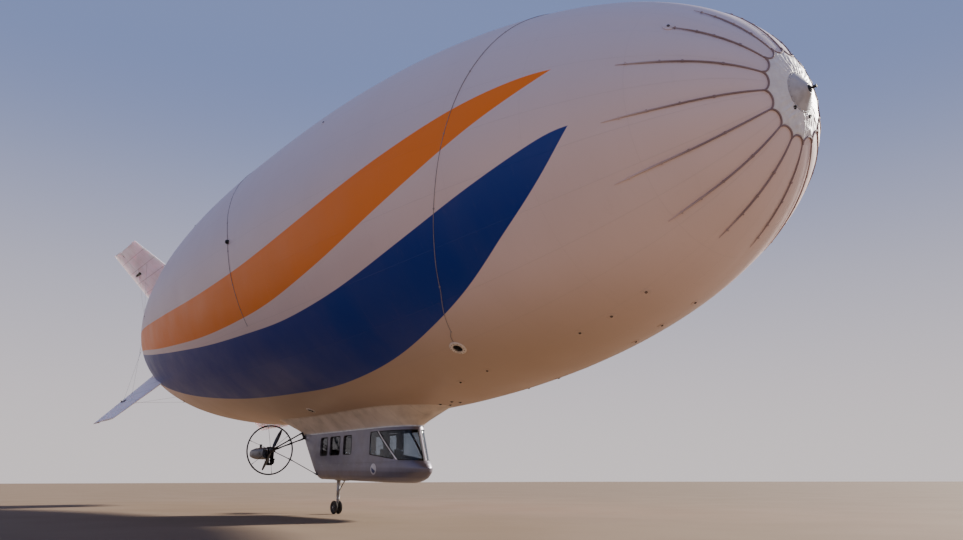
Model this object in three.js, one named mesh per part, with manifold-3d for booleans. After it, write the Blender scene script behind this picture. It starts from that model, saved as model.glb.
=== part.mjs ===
// A non-rigid airship with an X tail and two ring-guarded propellers, as a half-scale model.
// Millimetres. X runs to the nose, Y to port and Z up; the origin is on the hull's axis at mid-length.
import * as THREE from "three";
import { mergeVertices } from "three/addons/utils/BufferGeometryUtils.js";
import Module from "manifold-3d";

const wasm = await Module();
wasm.setup();

// Fits
const GAP = 0.3;
const FAR = 20000;

// Hull: a body of revolution, fullest ahead of its middle
const HULL_HALF = 13500;
const HULL_RADIUS = 3515;
const FULLEST_X = 1445;
const FORE_SHAPE = { run: 2.714, girth: 2.109 };
const AFT_SHAPE = { run: 2.107, girth: 1.511 };
const HULL_SEGMENTS = 48;
const FORE_RINGS = 10;
const AFT_RINGS = 9;
const ENVELOPE_WALL = 10;
const NOSE_OPENING = 240;
const TAIL_OPENING = 200;

// Nose: patch, cone, spindle and battens
const CONE_BASE = 282;
const CONE_TIP = 62;
const CONE_LENGTH = 145;
const SPINDLE_RADIUS = 20;
const SPINDLE_LENGTH = 95;
const PATCH_THICK = 5;
const PATCH_SINK = 0.75;
const BATTENS = 16;
const BATTEN_START = 670;
const BATTEN_END_X = 11800;
const BATTEN_WIDTH = 44;
const BATTEN_HEIGHT = 22;
const SCALLOP_DEPTH = 90;

// Tail: four fins at 45 degrees, each with a hinged ruddervator
const FIN = { rootX: -6882, rootR: 1400, tipX: -8600, tipR: 4175, tipAftX: -11200, tipAftR: 4225 };
const HINGE_X = -10430;
const FIN_BACK_X = HINGE_X + 44;
const FIN_THICK_ROOT = 150;
const FIN_THICK_TIP = 72;
const FLAP = { nose: 36, rootFore: 2010, rootAft: 1650, rootAftX: -11340, tipFore: 4195, edge: 8 };
const HINGE_STATIONS = [2300, 3150, 4000];
const HINGE_ARM = 24;
const HINGE_NOTCH = 40;
const HINGE_PIN = 9;
const HINGE_EYE = 9.9;
const STAY_RADIUS = 4;

// Gondola
const ROOF_Z = -3800;
const SILL_Z = -4505;
const KEEL_Z = -4838;
const REAR_TOP_X = -55;
const REAR_SLOPE = 0.86;
const CABIN_WALL = 24;
const NOSE_START_X = 3500;
const COCKPIT_X = 3270;
const BELLY_FALL = 0.0254;
const BELLY_START_X = 960;
// columns: height, half width, nose tip
const CABIN_LEVELS = [
  { z: ROOF_Z, half: 408, nose: 4575 },
  { z: -4000, half: 420, nose: 4655 },
  { z: -4425, half: 425, nose: 4830 },
  { z: -4485, half: 425, nose: 4900 },
  { z: -4560, half: 425, nose: 4960 },
  { z: -4640, half: 422, nose: 4940 },
  { z: -4740, half: 404, nose: 4815 },
  { z: -4805, half: 368, nose: 4610 },
  { z: KEEL_Z, half: 305, nose: 4400 },
];
// columns: rear edge and front edge of each cabin window
const CABIN_WINDOWS = [
  { from: 965, to: 1310 },
  { from: 1450, to: 1925 },
  { from: 2105, to: 2475 },
];
const WINDOW_TOP = -3893;
const WINDOW_SILL = -4308;
const DOOR = { from: 2640, to: 3120, top: -3850, foot: -4740 };
const DOOR_CLEAR = 6;
const DOOR_HINGE = { x: DOOR.to + 4, y: 434, knuckle: 8, leaf: 56, tall: 44, heights: [-3990, -4380] };

// Skirt between gondola and hull
const SKIRT_WALL = 8;
const SKIRT_TOP = { half: 800, rear: -900, nose: 5430 };

// Engines on outriggers, in guard rings
const RING = { x: 70, y: 1300, z: -4160, radius: 566, tube: 18 };
const SHAFT_Z = RING.z;
const PROP_X = 187;
const PROP_RADIUS = 520;
const PROP_REST = THREE.MathUtils.degToRad(24);
const SPOKES = 6;
const SPOKE_TURN = THREE.MathUtils.degToRad(-22);

// Landing gear
const GEAR = { x: 1150, trail: 65, ground: -5625, wheel: 150, tyre: 60, track: 62 };

// Colours as seen
const paint = (color, roughness, metalness = 0) => new THREE.MeshStandardMaterial({ color, roughness, metalness });
const MATERIAL = {
  fabric: paint(0xd9d2d3, 0.55),
  patch: paint(0xeceaec, 0.6),
  batten: paint(0x6a5a60, 0.7),
  cone: paint(0x8b8a8f, 0.5),
  steel: paint(0x2a2b30, 0.4, 0.7),
  silver: paint(0x8d8d93, 0.35, 0.3),
  skirt: paint(0x9c8a80, 0.6),
  glass: paint(0x2b3344, 0.1),
  rubber: paint(0x222222, 0.8),
  alloy: paint(0xb5b7ba, 0.35, 0.8),
  cowl: paint(0x5c6166, 0.45, 0.2),
  seat: paint(0x3a4258, 0.8),
  trim: paint(0x4a4a4d, 0.7),
  blade: paint(0x1c1c1e, 0.4),
};

// Solids and booleans

function solid(geometry) {
  const loose = geometry.index ? geometry.toNonIndexed() : geometry;
  const bare = new THREE.BufferGeometry().setAttribute("position", loose.getAttribute("position"));
  const merged = mergeVertices(bare, 1e-3);
  const corners = Array.from(merged.index.array);
  const faces = [];
  for (let i = 0; i < corners.length; i += 3) {
    const [a, b, c] = corners.slice(i, i + 3);
    if (a !== b && b !== c && c !== a) faces.push([a, b, c]);
  }
  const build = (list) =>
    new wasm.Manifold(
      new wasm.Mesh({
        numProp: 3,
        vertProperties: merged.attributes.position.array,
        triVerts: new Uint32Array(list.flat()),
      }),
    );
  const body = build(faces);
  return body.volume() > 0 ? body : build(faces.map(([a, b, c]) => [a, c, b]));
}

function surface(body) {
  const { vertProperties, triVerts } = body.getMesh();
  const geometry = new THREE.BufferGeometry();
  geometry.setAttribute("position", new THREE.BufferAttribute(new Float32Array(vertProperties), 3));
  geometry.setIndex(new THREE.BufferAttribute(new Uint32Array(triVerts), 1));
  geometry.computeVertexNormals();
  return geometry;
}

const join = (...bodies) => bodies.flat().reduce((sum, body) => sum.add(body));
const cut = (body, ...tools) => tools.flat().reduce((rest, tool) => rest.subtract(tool), body);

function block(x0, x1, y0, y1, z0, z1) {
  const box = new THREE.BoxGeometry(x1 - x0, y1 - y0, z1 - z0);
  return solid(box.translate((x0 + x1) / 2, (y0 + y1) / 2, (z0 + z1) / 2));
}

function rod(from, to, radius, sides = 8, endRadius = radius) {
  const a = new THREE.Vector3(...from);
  const b = new THREE.Vector3(...to);
  const along = b.clone().sub(a);
  const bar = new THREE.CylinderGeometry(endRadius, radius, along.length(), sides);
  const turn = new THREE.Quaternion().setFromUnitVectors(new THREE.Vector3(0, 1, 0), along.clone().normalize());
  return solid(bar.applyQuaternion(turn).translate(...a.add(b).multiplyScalar(0.5).toArray()));
}

// A profile of [radius, x] pairs turned about the X axis, from a start angle off the top
function turned(profile, segments, start = 0) {
  const points = profile.map(([radius, x]) => new THREE.Vector2(radius, x));
  return solid(new THREE.LatheGeometry(points, segments, start).rotateZ(-Math.PI / 2));
}

// Rings of equal point counts skinned into one closed body with flat ends
function loft(rings) {
  const count = rings[0].length;
  const points = rings.flat();
  const faces = [];
  for (let k = 0; k + 1 < rings.length; k++) {
    for (let i = 0; i < count; i++) {
      const a = k * count + i;
      const b = k * count + ((i + 1) % count);
      faces.push(a, b, b + count, a, b + count, a + count);
    }
  }
  for (const end of [0, rings.length - 1]) {
    const middle = new THREE.Vector3();
    rings[end].forEach((p) => middle.addScaledVector(p, 1 / count));
    points.push(middle);
    for (let i = 0; i < count; i++) {
      const a = end * count + i;
      const b = end * count + ((i + 1) % count);
      faces.push(...(end ? [a, b, points.length - 1] : [b, a, points.length - 1]));
    }
  }
  return meshed(points, faces);
}

// A wall between two surfaces of (u, v) that close round in u
function wall(outer, inner, around, steps) {
  const layer = (place) => {
    const list = [];
    for (let j = 0; j <= steps; j++) {
      for (let i = 0; i < around; i++) list.push(place(i / around, j / steps));
    }
    return list;
  };
  const points = [...layer(outer), ...layer(inner)];
  const shift = around * (steps + 1);
  const faces = [];
  const quad = (a, b, c, d) => faces.push(a, b, c, a, c, d);
  for (let i = 0; i < around; i++) {
    const next = (i + 1) % around;
    for (let j = 0; j < steps; j++) {
      const low = j * around;
      quad(low + i, low + next, low + around + next, low + around + i);
      quad(shift + low + next, shift + low + i, shift + low + around + i, shift + low + around + next);
    }
    const top = steps * around;
    quad(next, i, shift + i, shift + next);
    quad(top + i, top + next, shift + top + next, shift + top + i);
  }
  return meshed(points, faces);
}

function meshed(points, faces) {
  const geometry = new THREE.BufferGeometry().setFromPoints(points);
  geometry.setIndex(faces);
  return solid(geometry);
}

// A polygon of [x, z] corners with rounded corners, as a prism across the ship from y0 to y1
function sidePrism(corners, round, y0, y1) {
  const points = corners.map(([x, z]) => new THREE.Vector2(x, z));
  const shape = new THREE.Shape();
  points.forEach((corner, i) => {
    const before = points[(i + points.length - 1) % points.length];
    const after = points[(i + 1) % points.length];
    const start = corner.clone().add(before.clone().sub(corner).setLength(round));
    const end = corner.clone().add(after.clone().sub(corner).setLength(round));
    if (i === 0) shape.moveTo(start.x, start.y);
    else shape.lineTo(start.x, start.y);
    shape.quadraticCurveTo(corner.x, corner.y, end.x, end.y);
  });
  shape.closePath();
  const prism = new THREE.ExtrudeGeometry(shape, { depth: y1 - y0, bevelEnabled: false, curveSegments: 3 });
  return solid(prism.rotateX(Math.PI / 2).translate(0, y1, 0));
}

// Scene graph
const airship = new THREE.Group();

function piece(name, body, material, parent = airship) {
  const mesh = new THREE.Mesh(surface(body), material);
  mesh.name = name;
  parent.add(mesh);
  return mesh;
}

// Hull form, its facets started so that an edge runs under each nose batten
const FACET_START = Math.PI / HULL_SEGMENTS;

function hullShape(x) {
  return x > FULLEST_X
    ? { ...FORE_SHAPE, reach: HULL_HALF - FULLEST_X, side: 1 }
    : { ...AFT_SHAPE, reach: HULL_HALF + FULLEST_X, side: -1 };
}

function hullRadius(x) {
  const { run, girth, reach } = hullShape(x);
  const t = Math.min(Math.abs(x - FULLEST_X) / reach, 1);
  return HULL_RADIUS * (1 - t ** run) ** (1 / girth);
}

function hullStation(radius, toNose) {
  const { run, girth, reach, side } = hullShape(toNose ? HULL_HALF : -HULL_HALF);
  return FULLEST_X + side * reach * (1 - (radius / HULL_RADIUS) ** girth) ** (1 / run);
}

// Outward normal of the hull's profile, as [radial, axial]
function profileNormal(x) {
  const step = 0.5;
  const slope = (hullRadius(x + step) - hullRadius(x - step)) / (2 * step);
  const size = Math.hypot(1, slope);
  return [1 / size, -slope / size];
}

// Ring stations at equal steps of the superellipse's own angle, from one opening to the other
function hullStations() {
  const side = (toNose, opening, rings) => {
    const { run, girth, reach, side: sign } = hullShape(toNose ? HULL_HALF : -HULL_HALF);
    const lastTurn = Math.acos((opening / HULL_RADIUS) ** (girth / 2));
    const list = [];
    for (let k = 1; k <= rings; k++) {
      list.push(FULLEST_X + sign * reach * Math.sin((lastTurn * k) / rings) ** (2 / run));
    }
    return list;
  };
  return [...side(false, TAIL_OPENING, AFT_RINGS).reverse(), FULLEST_X, ...side(true, NOSE_OPENING, FORE_RINGS)];
}

// Radius of the faceted hull between two of its rings
function facetRadius(x) {
  const stations = hullStations();
  const after = Math.max(1, stations.findIndex((station) => station >= x));
  const [x0, x1] = [stations[after - 1], stations[after]];
  return THREE.MathUtils.mapLinear(x, x0, x1, hullRadius(x0), hullRadius(x1));
}

function hullPoint(x, angle, lift = 0, radiusAt = hullRadius) {
  const [radial, axial] = profileNormal(x);
  const radius = radiusAt(x) + lift * radial;
  return new THREE.Vector3(x + lift * axial, radius * Math.sin(angle), radius * Math.cos(angle));
}

// The hull grown by a lift, solid, to trim what is seated on it
function hullForm(lift) {
  const profile = hullStations().map((x) => [hullRadius(x) + lift, x]);
  const first = profile[0][1];
  const last = profile[profile.length - 1][1];
  return turned([[0, first], ...profile, [0, last]], HULL_SEGMENTS, FACET_START);
}
const HULL_TRIM = hullForm(GAP);

// Envelope

function envelope() {
  const outer = hullStations().map((x) => [hullRadius(x), x]);
  const inner = hullStations().map((x) => {
    const [radial, axial] = profileNormal(x);
    return [hullRadius(x) - ENVELOPE_WALL * radial, x - ENVELOPE_WALL * axial];
  });
  return turned([...outer, ...inner.reverse(), outer[0]], HULL_SEGMENTS, FACET_START);
}
piece("envelope", envelope(), MATERIAL.fabric);

// Nose

const CONE_X = hullStation(CONE_BASE, true) + PATCH_THICK - PATCH_SINK;

function noseCone() {
  const rim = 14;
  const plug = NOSE_OPENING - 6;
  const plugDepth = 70;
  const seat = 9;
  return turned(
    [
      [0, CONE_X - plugDepth],
      [plug, CONE_X - plugDepth],
      [plug, CONE_X + seat],
      [CONE_BASE, CONE_X],
      [CONE_BASE, CONE_X + rim],
      [CONE_TIP, CONE_X + CONE_LENGTH],
      [0, CONE_X + CONE_LENGTH],
    ],
    32,
  );
}
piece("nose_cone", noseCone(), MATERIAL.cone);

function mooringSpindle() {
  const start = CONE_X + CONE_LENGTH + GAP;
  const flange = 12;
  const collar = SPINDLE_RADIUS + 8;
  return turned(
    [
      [0, start],
      [CONE_TIP - 6, start],
      [CONE_TIP - 6, start + flange],
      [SPINDLE_RADIUS, start + flange],
      [SPINDLE_RADIUS, start + SPINDLE_LENGTH - 24],
      [collar, start + SPINDLE_LENGTH - 18],
      [collar, start + SPINDLE_LENGTH],
      [0, start + SPINDLE_LENGTH],
    ],
    16,
  );
}
piece("mooring_spindle", mooringSpindle(), MATERIAL.steel);

// Radius of the patch's scalloped edge at a share of the way from one batten to the next
function scallopRadius(share) {
  return BATTEN_START - SCALLOP_DEPTH * Math.sqrt(Math.max(0, 1 - (2 * share - 1) ** 2));
}
const BATTEN_TURN = (2 * Math.PI) / BATTENS;
const FIRST_BATTEN = BATTEN_TURN / 2;

function nosePatch() {
  const inner = NOSE_OPENING + 8;
  const edge = scallopRadius(0.5) - BATTEN_WIDTH / 2 - 4;
  const place = (lift) => (u, v) => {
    const radius = inner + (edge - inner) * v;
    return hullPoint(hullStation(radius, true), FIRST_BATTEN + 2 * Math.PI * u, lift);
  };
  return wall(place(PATCH_THICK), place(-PATCH_SINK), BATTENS * 2, 2);
}
piece("nose_patch", nosePatch(), MATERIAL.patch);

// A low ridge on the hull along [x, angle] pairs
function ridge(path, radiusAt) {
  const half = BATTEN_WIDTH / 2;
  const section = [
    [-half, 1],
    [half, 1],
    [half * 0.55, BATTEN_HEIGHT],
    [-half * 0.55, BATTEN_HEIGHT],
  ];
  const feet = path.map(([x, angle]) => hullPoint(x, angle, 0, radiusAt));
  return loft(
    path.map(([x, angle], i) => {
      const before = feet[Math.max(i - 1, 0)];
      const after = feet[Math.min(i + 1, feet.length - 1)];
      const up = hullPoint(x, angle, 1).sub(hullPoint(x, angle));
      const across = after.clone().sub(before).normalize().cross(up).normalize();
      return section.map(([side, lift]) => feet[i].clone().addScaledVector(across, side).addScaledVector(up, lift));
    }),
  );
}

function noseBattens() {
  const scallopSteps = 4;
  const startX = hullStation(BATTEN_START - BATTEN_WIDTH / 2, true);
  const between = hullStations().filter((x) => x > BATTEN_END_X && x < startX);
  const bodies = [];
  for (let k = 0; k < BATTENS; k++) {
    const angle = FIRST_BATTEN + k * BATTEN_TURN;
    const run = [BATTEN_END_X, ...between, startX].map((x) => [x, angle]);
    const scallop = [];
    for (let i = 0; i <= scallopSteps; i++) {
      const share = (1 - Math.cos((Math.PI * i) / scallopSteps)) / 2;
      scallop.push([hullStation(scallopRadius(share), true), angle + share * BATTEN_TURN]);
    }
    bodies.push(ridge(run, facetRadius), ridge(scallop));
  }
  return join(bodies);
}
piece("nose_battens", noseBattens(), MATERIAL.batten);

// Tail

function tailCap() {
  const seatX = hullStation(TAIL_OPENING, false) - GAP;
  const plug = TAIL_OPENING - 12;
  const depth = 50;
  const rim = 10;
  const dome = 64;
  const flange = TAIL_OPENING + 30;
  return turned(
    [
      [0, seatX - rim - dome],
      [TAIL_OPENING * 0.7, seatX - rim - dome * 0.7],
      [flange, seatX - rim],
      [flange, seatX],
      [plug, seatX],
      [plug, seatX + depth],
      [0, seatX + depth],
    ],
    24,
  );
}
piece("tail_cap", tailCap(), MATERIAL.patch);

// Half thickness of a fin at a radius
function finHalf(radius) {
  const share = (radius - FIN.rootR) / (FIN.tipR - FIN.rootR);
  return (FIN_THICK_ROOT + (FIN_THICK_TIP - FIN_THICK_ROOT) * share) / 2;
}

// The fixed fin in its own plane: span along Z, thickness along Y
function finBody() {
  // columns: share of the chord from the leading edge, share of the half thickness
  const outline = [
    [0, 0],
    [0.08, 0.6],
    [0.4, 1],
    [1, 0.62],
  ];
  const section = (leadX, radius) => {
    const half = finHalf(radius);
    const chord = FIN_BACK_X - leadX;
    const near = outline.map(([share, thick]) => new THREE.Vector3(leadX + chord * share, thick * half, radius));
    const far = outline.slice(1).map(([share, thick]) => new THREE.Vector3(leadX + chord * share, -thick * half, radius));
    return [...near, ...far.reverse()];
  };
  const rounding = 26;
  const tip = section(FIN.tipX - rounding, FIN.tipR + 8).map((p) => new THREE.Vector3(p.x, p.y * 0.3, p.z));
  const panel = loft([section(FIN.rootX, FIN.rootR), section(FIN.tipX, FIN.tipR - 12), tip]);
  const arms = HINGE_STATIONS.map((radius) => {
    const low = radius - HINGE_ARM / 2;
    const eye = rod([HINGE_X, 0, low], [HINGE_X, 0, low + HINGE_ARM], 22, 12);
    return join(eye, block(HINGE_X, FIN_BACK_X + 30, -14, 14, low, low + HINGE_ARM));
  });
  const eyes = HINGE_STATIONS.map((radius) =>
    rod([HINGE_X, 0, radius - HINGE_ARM], [HINGE_X, 0, radius + HINGE_ARM], HINGE_EYE, 12),
  );
  return cut(join(panel, arms), eyes);
}

// Two wires on each side brace the fin to the hull
function finStays() {
  const wires = [];
  for (const x of [-9000, -10050]) {
    for (const side of [1, -1]) {
      const spread = THREE.MathUtils.degToRad(34) * side;
      const foot = hullRadius(x) - 30;
      const head = [x, 0, 3350];
      wires.push(rod(head, [x, foot * Math.sin(spread), foot * Math.cos(spread)], STAY_RADIUS, 6));
    }
  }
  return wires;
}

// The ruddervator turns on pins that cross its notches
function flapBody() {
  const section = (radius, trailX) => {
    const nose = [];
    const taper = 1 - (0.25 * (radius - FLAP.rootAft)) / (FIN.tipR - FLAP.rootAft);
    const half = FLAP.nose * taper;
    const steps = 6;
    for (let i = 0; i <= steps; i++) {
      const turn = Math.PI / 2 - (Math.PI * i) / steps;
      nose.push([HINGE_X + half * Math.cos(turn), half * Math.sin(turn)]);
    }
    return [...nose, [trailX, -FLAP.edge / 2], [trailX, FLAP.edge / 2]];
  };
  const trailAt = (radius) => {
    const share = (radius - FLAP.rootAft) / (FIN.tipAftR - FLAP.rootAft);
    return FLAP.rootAftX + (FIN.tipAftX - FLAP.rootAftX) * share;
  };
  const ring = (foreR, aftR) => {
    const trailX = trailAt(aftR);
    return section(foreR, trailX).map(([x, y]) => {
      const share = THREE.MathUtils.clamp((HINGE_X - x) / (HINGE_X - trailX), 0, 1);
      return new THREE.Vector3(x, y, foreR + (aftR - foreR) * share);
    });
  };
  const panel = loft([ring(FLAP.rootFore, FLAP.rootAft), ring(FLAP.tipFore, FIN.tipAftR)]);
  const notches = HINGE_STATIONS.map((radius) => {
    const low = radius - HINGE_NOTCH / 2;
    const round = rod([HINGE_X, 0, low], [HINGE_X, 0, low + HINGE_NOTCH], 30, 10);
    return join(round, block(HINGE_X, HINGE_X + 60, -60, 60, low, low + HINGE_NOTCH));
  });
  const pins = HINGE_STATIONS.map((radius) =>
    rod([HINGE_X, 0, radius - HINGE_NOTCH], [HINGE_X, 0, radius + HINGE_NOTCH], HINGE_PIN, 12),
  );
  return join(cut(panel, notches), pins);
}

const FIN_BODY = cut(join(finBody(), finStays()), HULL_TRIM);
const FLAP_BODY = flapBody();
// columns: name, turn about the X axis from straight up
const TAIL = [
  { name: "upper_starboard", turn: 45 },
  { name: "upper_port", turn: -45 },
  { name: "lower_starboard", turn: 135 },
  { name: "lower_port", turn: -135 },
];
for (const { name, turn } of TAIL) {
  const plane = new THREE.Group();
  plane.rotation.x = THREE.MathUtils.degToRad(turn);
  airship.add(plane);
  piece(`fin_${name}`, FIN_BODY, MATERIAL.fabric, plane);
  piece(`ruddervator_${name}`, FLAP_BODY, MATERIAL.fabric, plane);
}

// Valves: low round housings trimmed to the hull
function hullHousing(x, angle, radius, height) {
  const up = hullPoint(x, angle, 1).sub(hullPoint(x, angle));
  const foot = hullPoint(x, angle, -12);
  const disc = rod(foot.toArray(), foot.clone().addScaledVector(up, 12 + height).toArray(), radius, 24, radius * 0.93);
  return cut(disc, HULL_TRIM);
}
// columns: name, station, turn from straight up towards port, radius, height
const VALVES = [
  { name: "gas_valve", x: 8020, turn: 151.3, radius: 150, height: 16 },
  { name: "ballonet_valve", x: 1800, turn: 161.5, radius: 120, height: 14 },
];
for (const { name, x, turn, radius, height } of VALVES) {
  for (const [label, side] of [["port", 1], ["starboard", -1]]) {
    const angle = THREE.MathUtils.degToRad(turn) * side;
    piece(`${name}_${label}`, hullHousing(x, angle, radius, height), MATERIAL.patch);
  }
}

// Gondola form: plan outlines stacked in height

const rearX = (z) => REAR_TOP_X + (ROOF_Z - z) * REAR_SLOPE;

function planOutline({ half, rear, nose, start = NOSE_START_X, corner = 60 }) {
  const noseSteps = 7;
  const port = [
    [rear, half - corner],
    [rear + corner * 0.3, half - corner * 0.3],
    [rear + corner, half],
    [start * 0.5 + rear * 0.5, half],
  ];
  for (let i = 0; i < noseSteps; i++) {
    const turn = (Math.PI / 2) * (i / noseSteps);
    port.push([start + (nose - start) * Math.sin(turn), half * Math.cos(turn)]);
  }
  const starboard = port.map(([x, y]) => [x, -y]).reverse();
  return [...port, [nose, 0], ...starboard];
}

function cabinForm(inset) {
  const levels = CABIN_LEVELS.map(({ z, half, nose }) => ({ z, half: half - inset, nose: nose - inset }));
  const last = levels[levels.length - 1];
  last.z += inset;
  if (inset) {
    levels[0].z += 2 * inset;
    levels[levels.length - 2].z += inset * 0.5;
  }
  return loft(
    levels.map(({ z, half, nose }) => {
      const share = (ROOF_Z - z) / (ROOF_Z - KEEL_Z);
      const outline = planOutline({ half, rear: rearX(z) + inset, nose });
      return outline.map(
        ([x, y]) => new THREE.Vector3(x, y, z - Math.max(0, share) * BELLY_FALL * Math.max(0, x - BELLY_START_X)),
      );
    }),
  );
}

const CABIN_OUTER = cabinForm(0);
const CABIN_SHELL = cut(CABIN_OUTER, cabinForm(CABIN_WALL));
const HALF_GAP = GAP / 2;
const SIDE_REACH = 700;

const windowShape = ({ from, to }, grow = 0) =>
  [
    [from - grow, WINDOW_TOP + grow],
    [to + grow, WINDOW_TOP + grow],
    [to + grow, WINDOW_SILL - grow],
    [from - grow, WINDOW_SILL - grow],
  ];
const COCKPIT_SIDE_WINDOW = [
  [3305, -3868],
  [3585, -3868],
  [4235, -4452],
  [3305, -4335],
];
const WINDSCREEN = [
  [3650, -3868],
  [5200, -3868],
  [5200, -4492],
  [4318, -4468],
];
const POST_HALF = 20;

function doorShape(clear) {
  const { from, to, top, foot } = DOOR;
  return [
    [from - clear, top + clear],
    [to + clear, top + clear],
    [to + clear, foot - clear],
    [from - clear, foot - clear],
  ];
}
const DOOR_HOLE = sidePrism(doorShape(0), 50, 300, SIDE_REACH);
const DOOR_LEAF = sidePrism(doorShape(-DOOR_CLEAR), 46, 300, SIDE_REACH);
const DOOR_WINDOW = { from: DOOR.from + 80, to: DOOR.to - 80 };

const UPPER = CABIN_SHELL.intersect(block(-FAR, FAR, -SIDE_REACH, SIDE_REACH, SILL_Z + HALF_GAP, 0));
const REAR_BAND = 64;
const rearRegion = (shift) =>
  sidePrism(
    [
      [-600, ROOF_Z + 200],
      [rearX(ROOF_Z + 200) + REAR_BAND + shift, ROOF_Z + 200],
      [rearX(SILL_Z - 200) + REAR_BAND + shift, SILL_Z - 200],
      [-600, SILL_Z - 200],
    ],
    1,
    -SIDE_REACH,
    SIDE_REACH,
  );

const tub = CABIN_SHELL.intersect(block(-FAR, FAR, -SIDE_REACH, SIDE_REACH, -FAR, SILL_Z - HALF_GAP));
piece("gondola_tub", cut(tub, DOOR_HOLE), MATERIAL.silver);
piece("gondola_rear_wall", UPPER.intersect(rearRegion(-HALF_GAP)), MATERIAL.silver);

// The frame's half of each door hinge stands on the door's half
function frameHinges() {
  const { x, y, knuckle, leaf, tall, heights } = DOOR_HINGE;
  return heights.flatMap((z) => {
    const low = z + GAP;
    const high = low + tall / 2;
    return [rod([x, y, low], [x, y, high], knuckle, 12), block(x, x + leaf, y - 24, y + 2, low, high)];
  });
}

const cabinWindows = (y0, y1) => CABIN_WINDOWS.map((window) => sidePrism(windowShape(window), 40, y0, y1));
for (const [label, side] of [["port", 1], ["starboard", -1]]) {
  const [y0, y1] = side > 0 ? [0, SIDE_REACH] : [-SIDE_REACH, 0];
  const region = block(-FAR, COCKPIT_X - HALF_GAP, y0, y1, -FAR, 0);
  const panel = cut(UPPER.intersect(region), rearRegion(HALF_GAP), cabinWindows(y0, y1));
  const portPanel = side > 0 ? join(cut(panel, DOOR_HOLE), frameHinges()) : null;
  piece(`gondola_side_${label}`, portPanel ?? panel, MATERIAL.silver);
}

function cockpitFrame() {
  const front = UPPER.intersect(block(COCKPIT_X + HALF_GAP, FAR, -SIDE_REACH, SIDE_REACH, -FAR, 0));
  const screen = sidePrism(WINDSCREEN, 24, -SIDE_REACH, SIDE_REACH);
  const screens = cut(screen, block(-FAR, FAR, -POST_HALF, POST_HALF, -FAR, FAR));
  return cut(front, screens, sidePrism(COCKPIT_SIDE_WINDOW, 24, -SIDE_REACH, SIDE_REACH));
}
piece("cockpit_frame", cockpitFrame(), MATERIAL.silver);

// Glass lies in the middle of the wall's thickness
const GLASS_LAYER = cut(cabinForm(8), cabinForm(15));
for (const [label, side] of [["port", 1], ["starboard", -1]]) {
  const [y0, y1] = side > 0 ? [POST_HALF + GAP, SIDE_REACH] : [-SIDE_REACH, -POST_HALF - GAP];
  const screen = sidePrism(shrink(WINDSCREEN, GAP), 24, y0, y1);
  piece(`windscreen_${label}`, GLASS_LAYER.intersect(screen), MATERIAL.glass);
  const sideWindow = sidePrism(shrink(COCKPIT_SIDE_WINDOW, GAP), 24, y0, y1);
  piece(`cockpit_window_${label}`, GLASS_LAYER.intersect(sideWindow), MATERIAL.glass);
}

// A convex polygon with each edge moved inwards by the given distance
function shrink(corners, by) {
  const count = corners.length;
  const middle = corners.reduce((sum, [x, z]) => sum.add(new THREE.Vector2(x / count, z / count)), new THREE.Vector2());
  const edges = corners.map(([x, z], i) => {
    const [nextX, nextZ] = corners[(i + 1) % count];
    const along = new THREE.Vector2(nextX - x, nextZ - z).normalize();
    const inward = new THREE.Vector2(-along.y, along.x);
    const start = new THREE.Vector2(x, z);
    if (middle.clone().sub(start).dot(inward) < 0) inward.negate();
    return { along, start: start.addScaledVector(inward, by) };
  });
  return edges.map((edge, i) => {
    const before = edges[(i + count - 1) % count];
    const step = edge.start.clone().sub(before.start).cross(edge.along) / before.along.cross(edge.along);
    const corner = before.start.clone().addScaledVector(before.along, step);
    return [corner.x, corner.y];
  });
}

// One strip of glazing behind the three cabin windows of a side
const GLAZING = { top: WINDOW_TOP + 24, foot: WINDOW_SILL - 24, thick: 5 };
for (const [label, side] of [["port", 1], ["starboard", -1]]) {
  const edges = [CABIN_WINDOWS[0].from - 30, CABIN_WINDOWS[2].to + 30];
  const outer = cabinForm(CABIN_WALL + 0.4);
  const strip = cut(outer, cabinForm(CABIN_WALL + GLAZING.thick));
  const [y0, y1] = side > 0 ? [200, SIDE_REACH] : [-SIDE_REACH, -200];
  piece(`cabin_glazing_${label}`, strip.intersect(block(...edges, y0, y1, GLAZING.foot, GLAZING.top)), MATERIAL.glass);
}

const doorPane = sidePrism(windowShape(DOOR_WINDOW), 40, 300, SIDE_REACH);
const doorLeaf = cut(CABIN_SHELL.intersect(DOOR_LEAF), doorPane);
function doorHinges() {
  const { x, y, knuckle, leaf, tall, heights } = DOOR_HINGE;
  return heights.flatMap((z) => [
    rod([x, y, z], [x, y, z - tall], knuckle, 12),
    block(x - leaf, x, y - 6, y + 2, z - tall, z),
    block(x - leaf, DOOR.to - DOOR_CLEAR - 2, y - 24, y - 4, z - tall, z),
  ]);
}
piece("cabin_door", join(doorLeaf, doorHinges()), MATERIAL.silver);
const panePrism = sidePrism(shrink(windowShape(DOOR_WINDOW), GAP), 40, 300, SIDE_REACH);
piece("cabin_door_window", GLASS_LAYER.intersect(panePrism), MATERIAL.glass);

// Roof and skirt

const ROOF_THICK = 24;
function roofPlate() {
  const { half, nose } = CABIN_LEVELS[0];
  const outline = planOutline({ half: half - 1, rear: rearX(ROOF_Z) + 1, nose: nose - 1 });
  return loft([ROOF_Z + GAP, ROOF_Z + ROOF_THICK].map((z) => outline.map(([x, y]) => new THREE.Vector3(x, y, z))));
}
piece("gondola_roof", roofPlate(), MATERIAL.trim);

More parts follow.
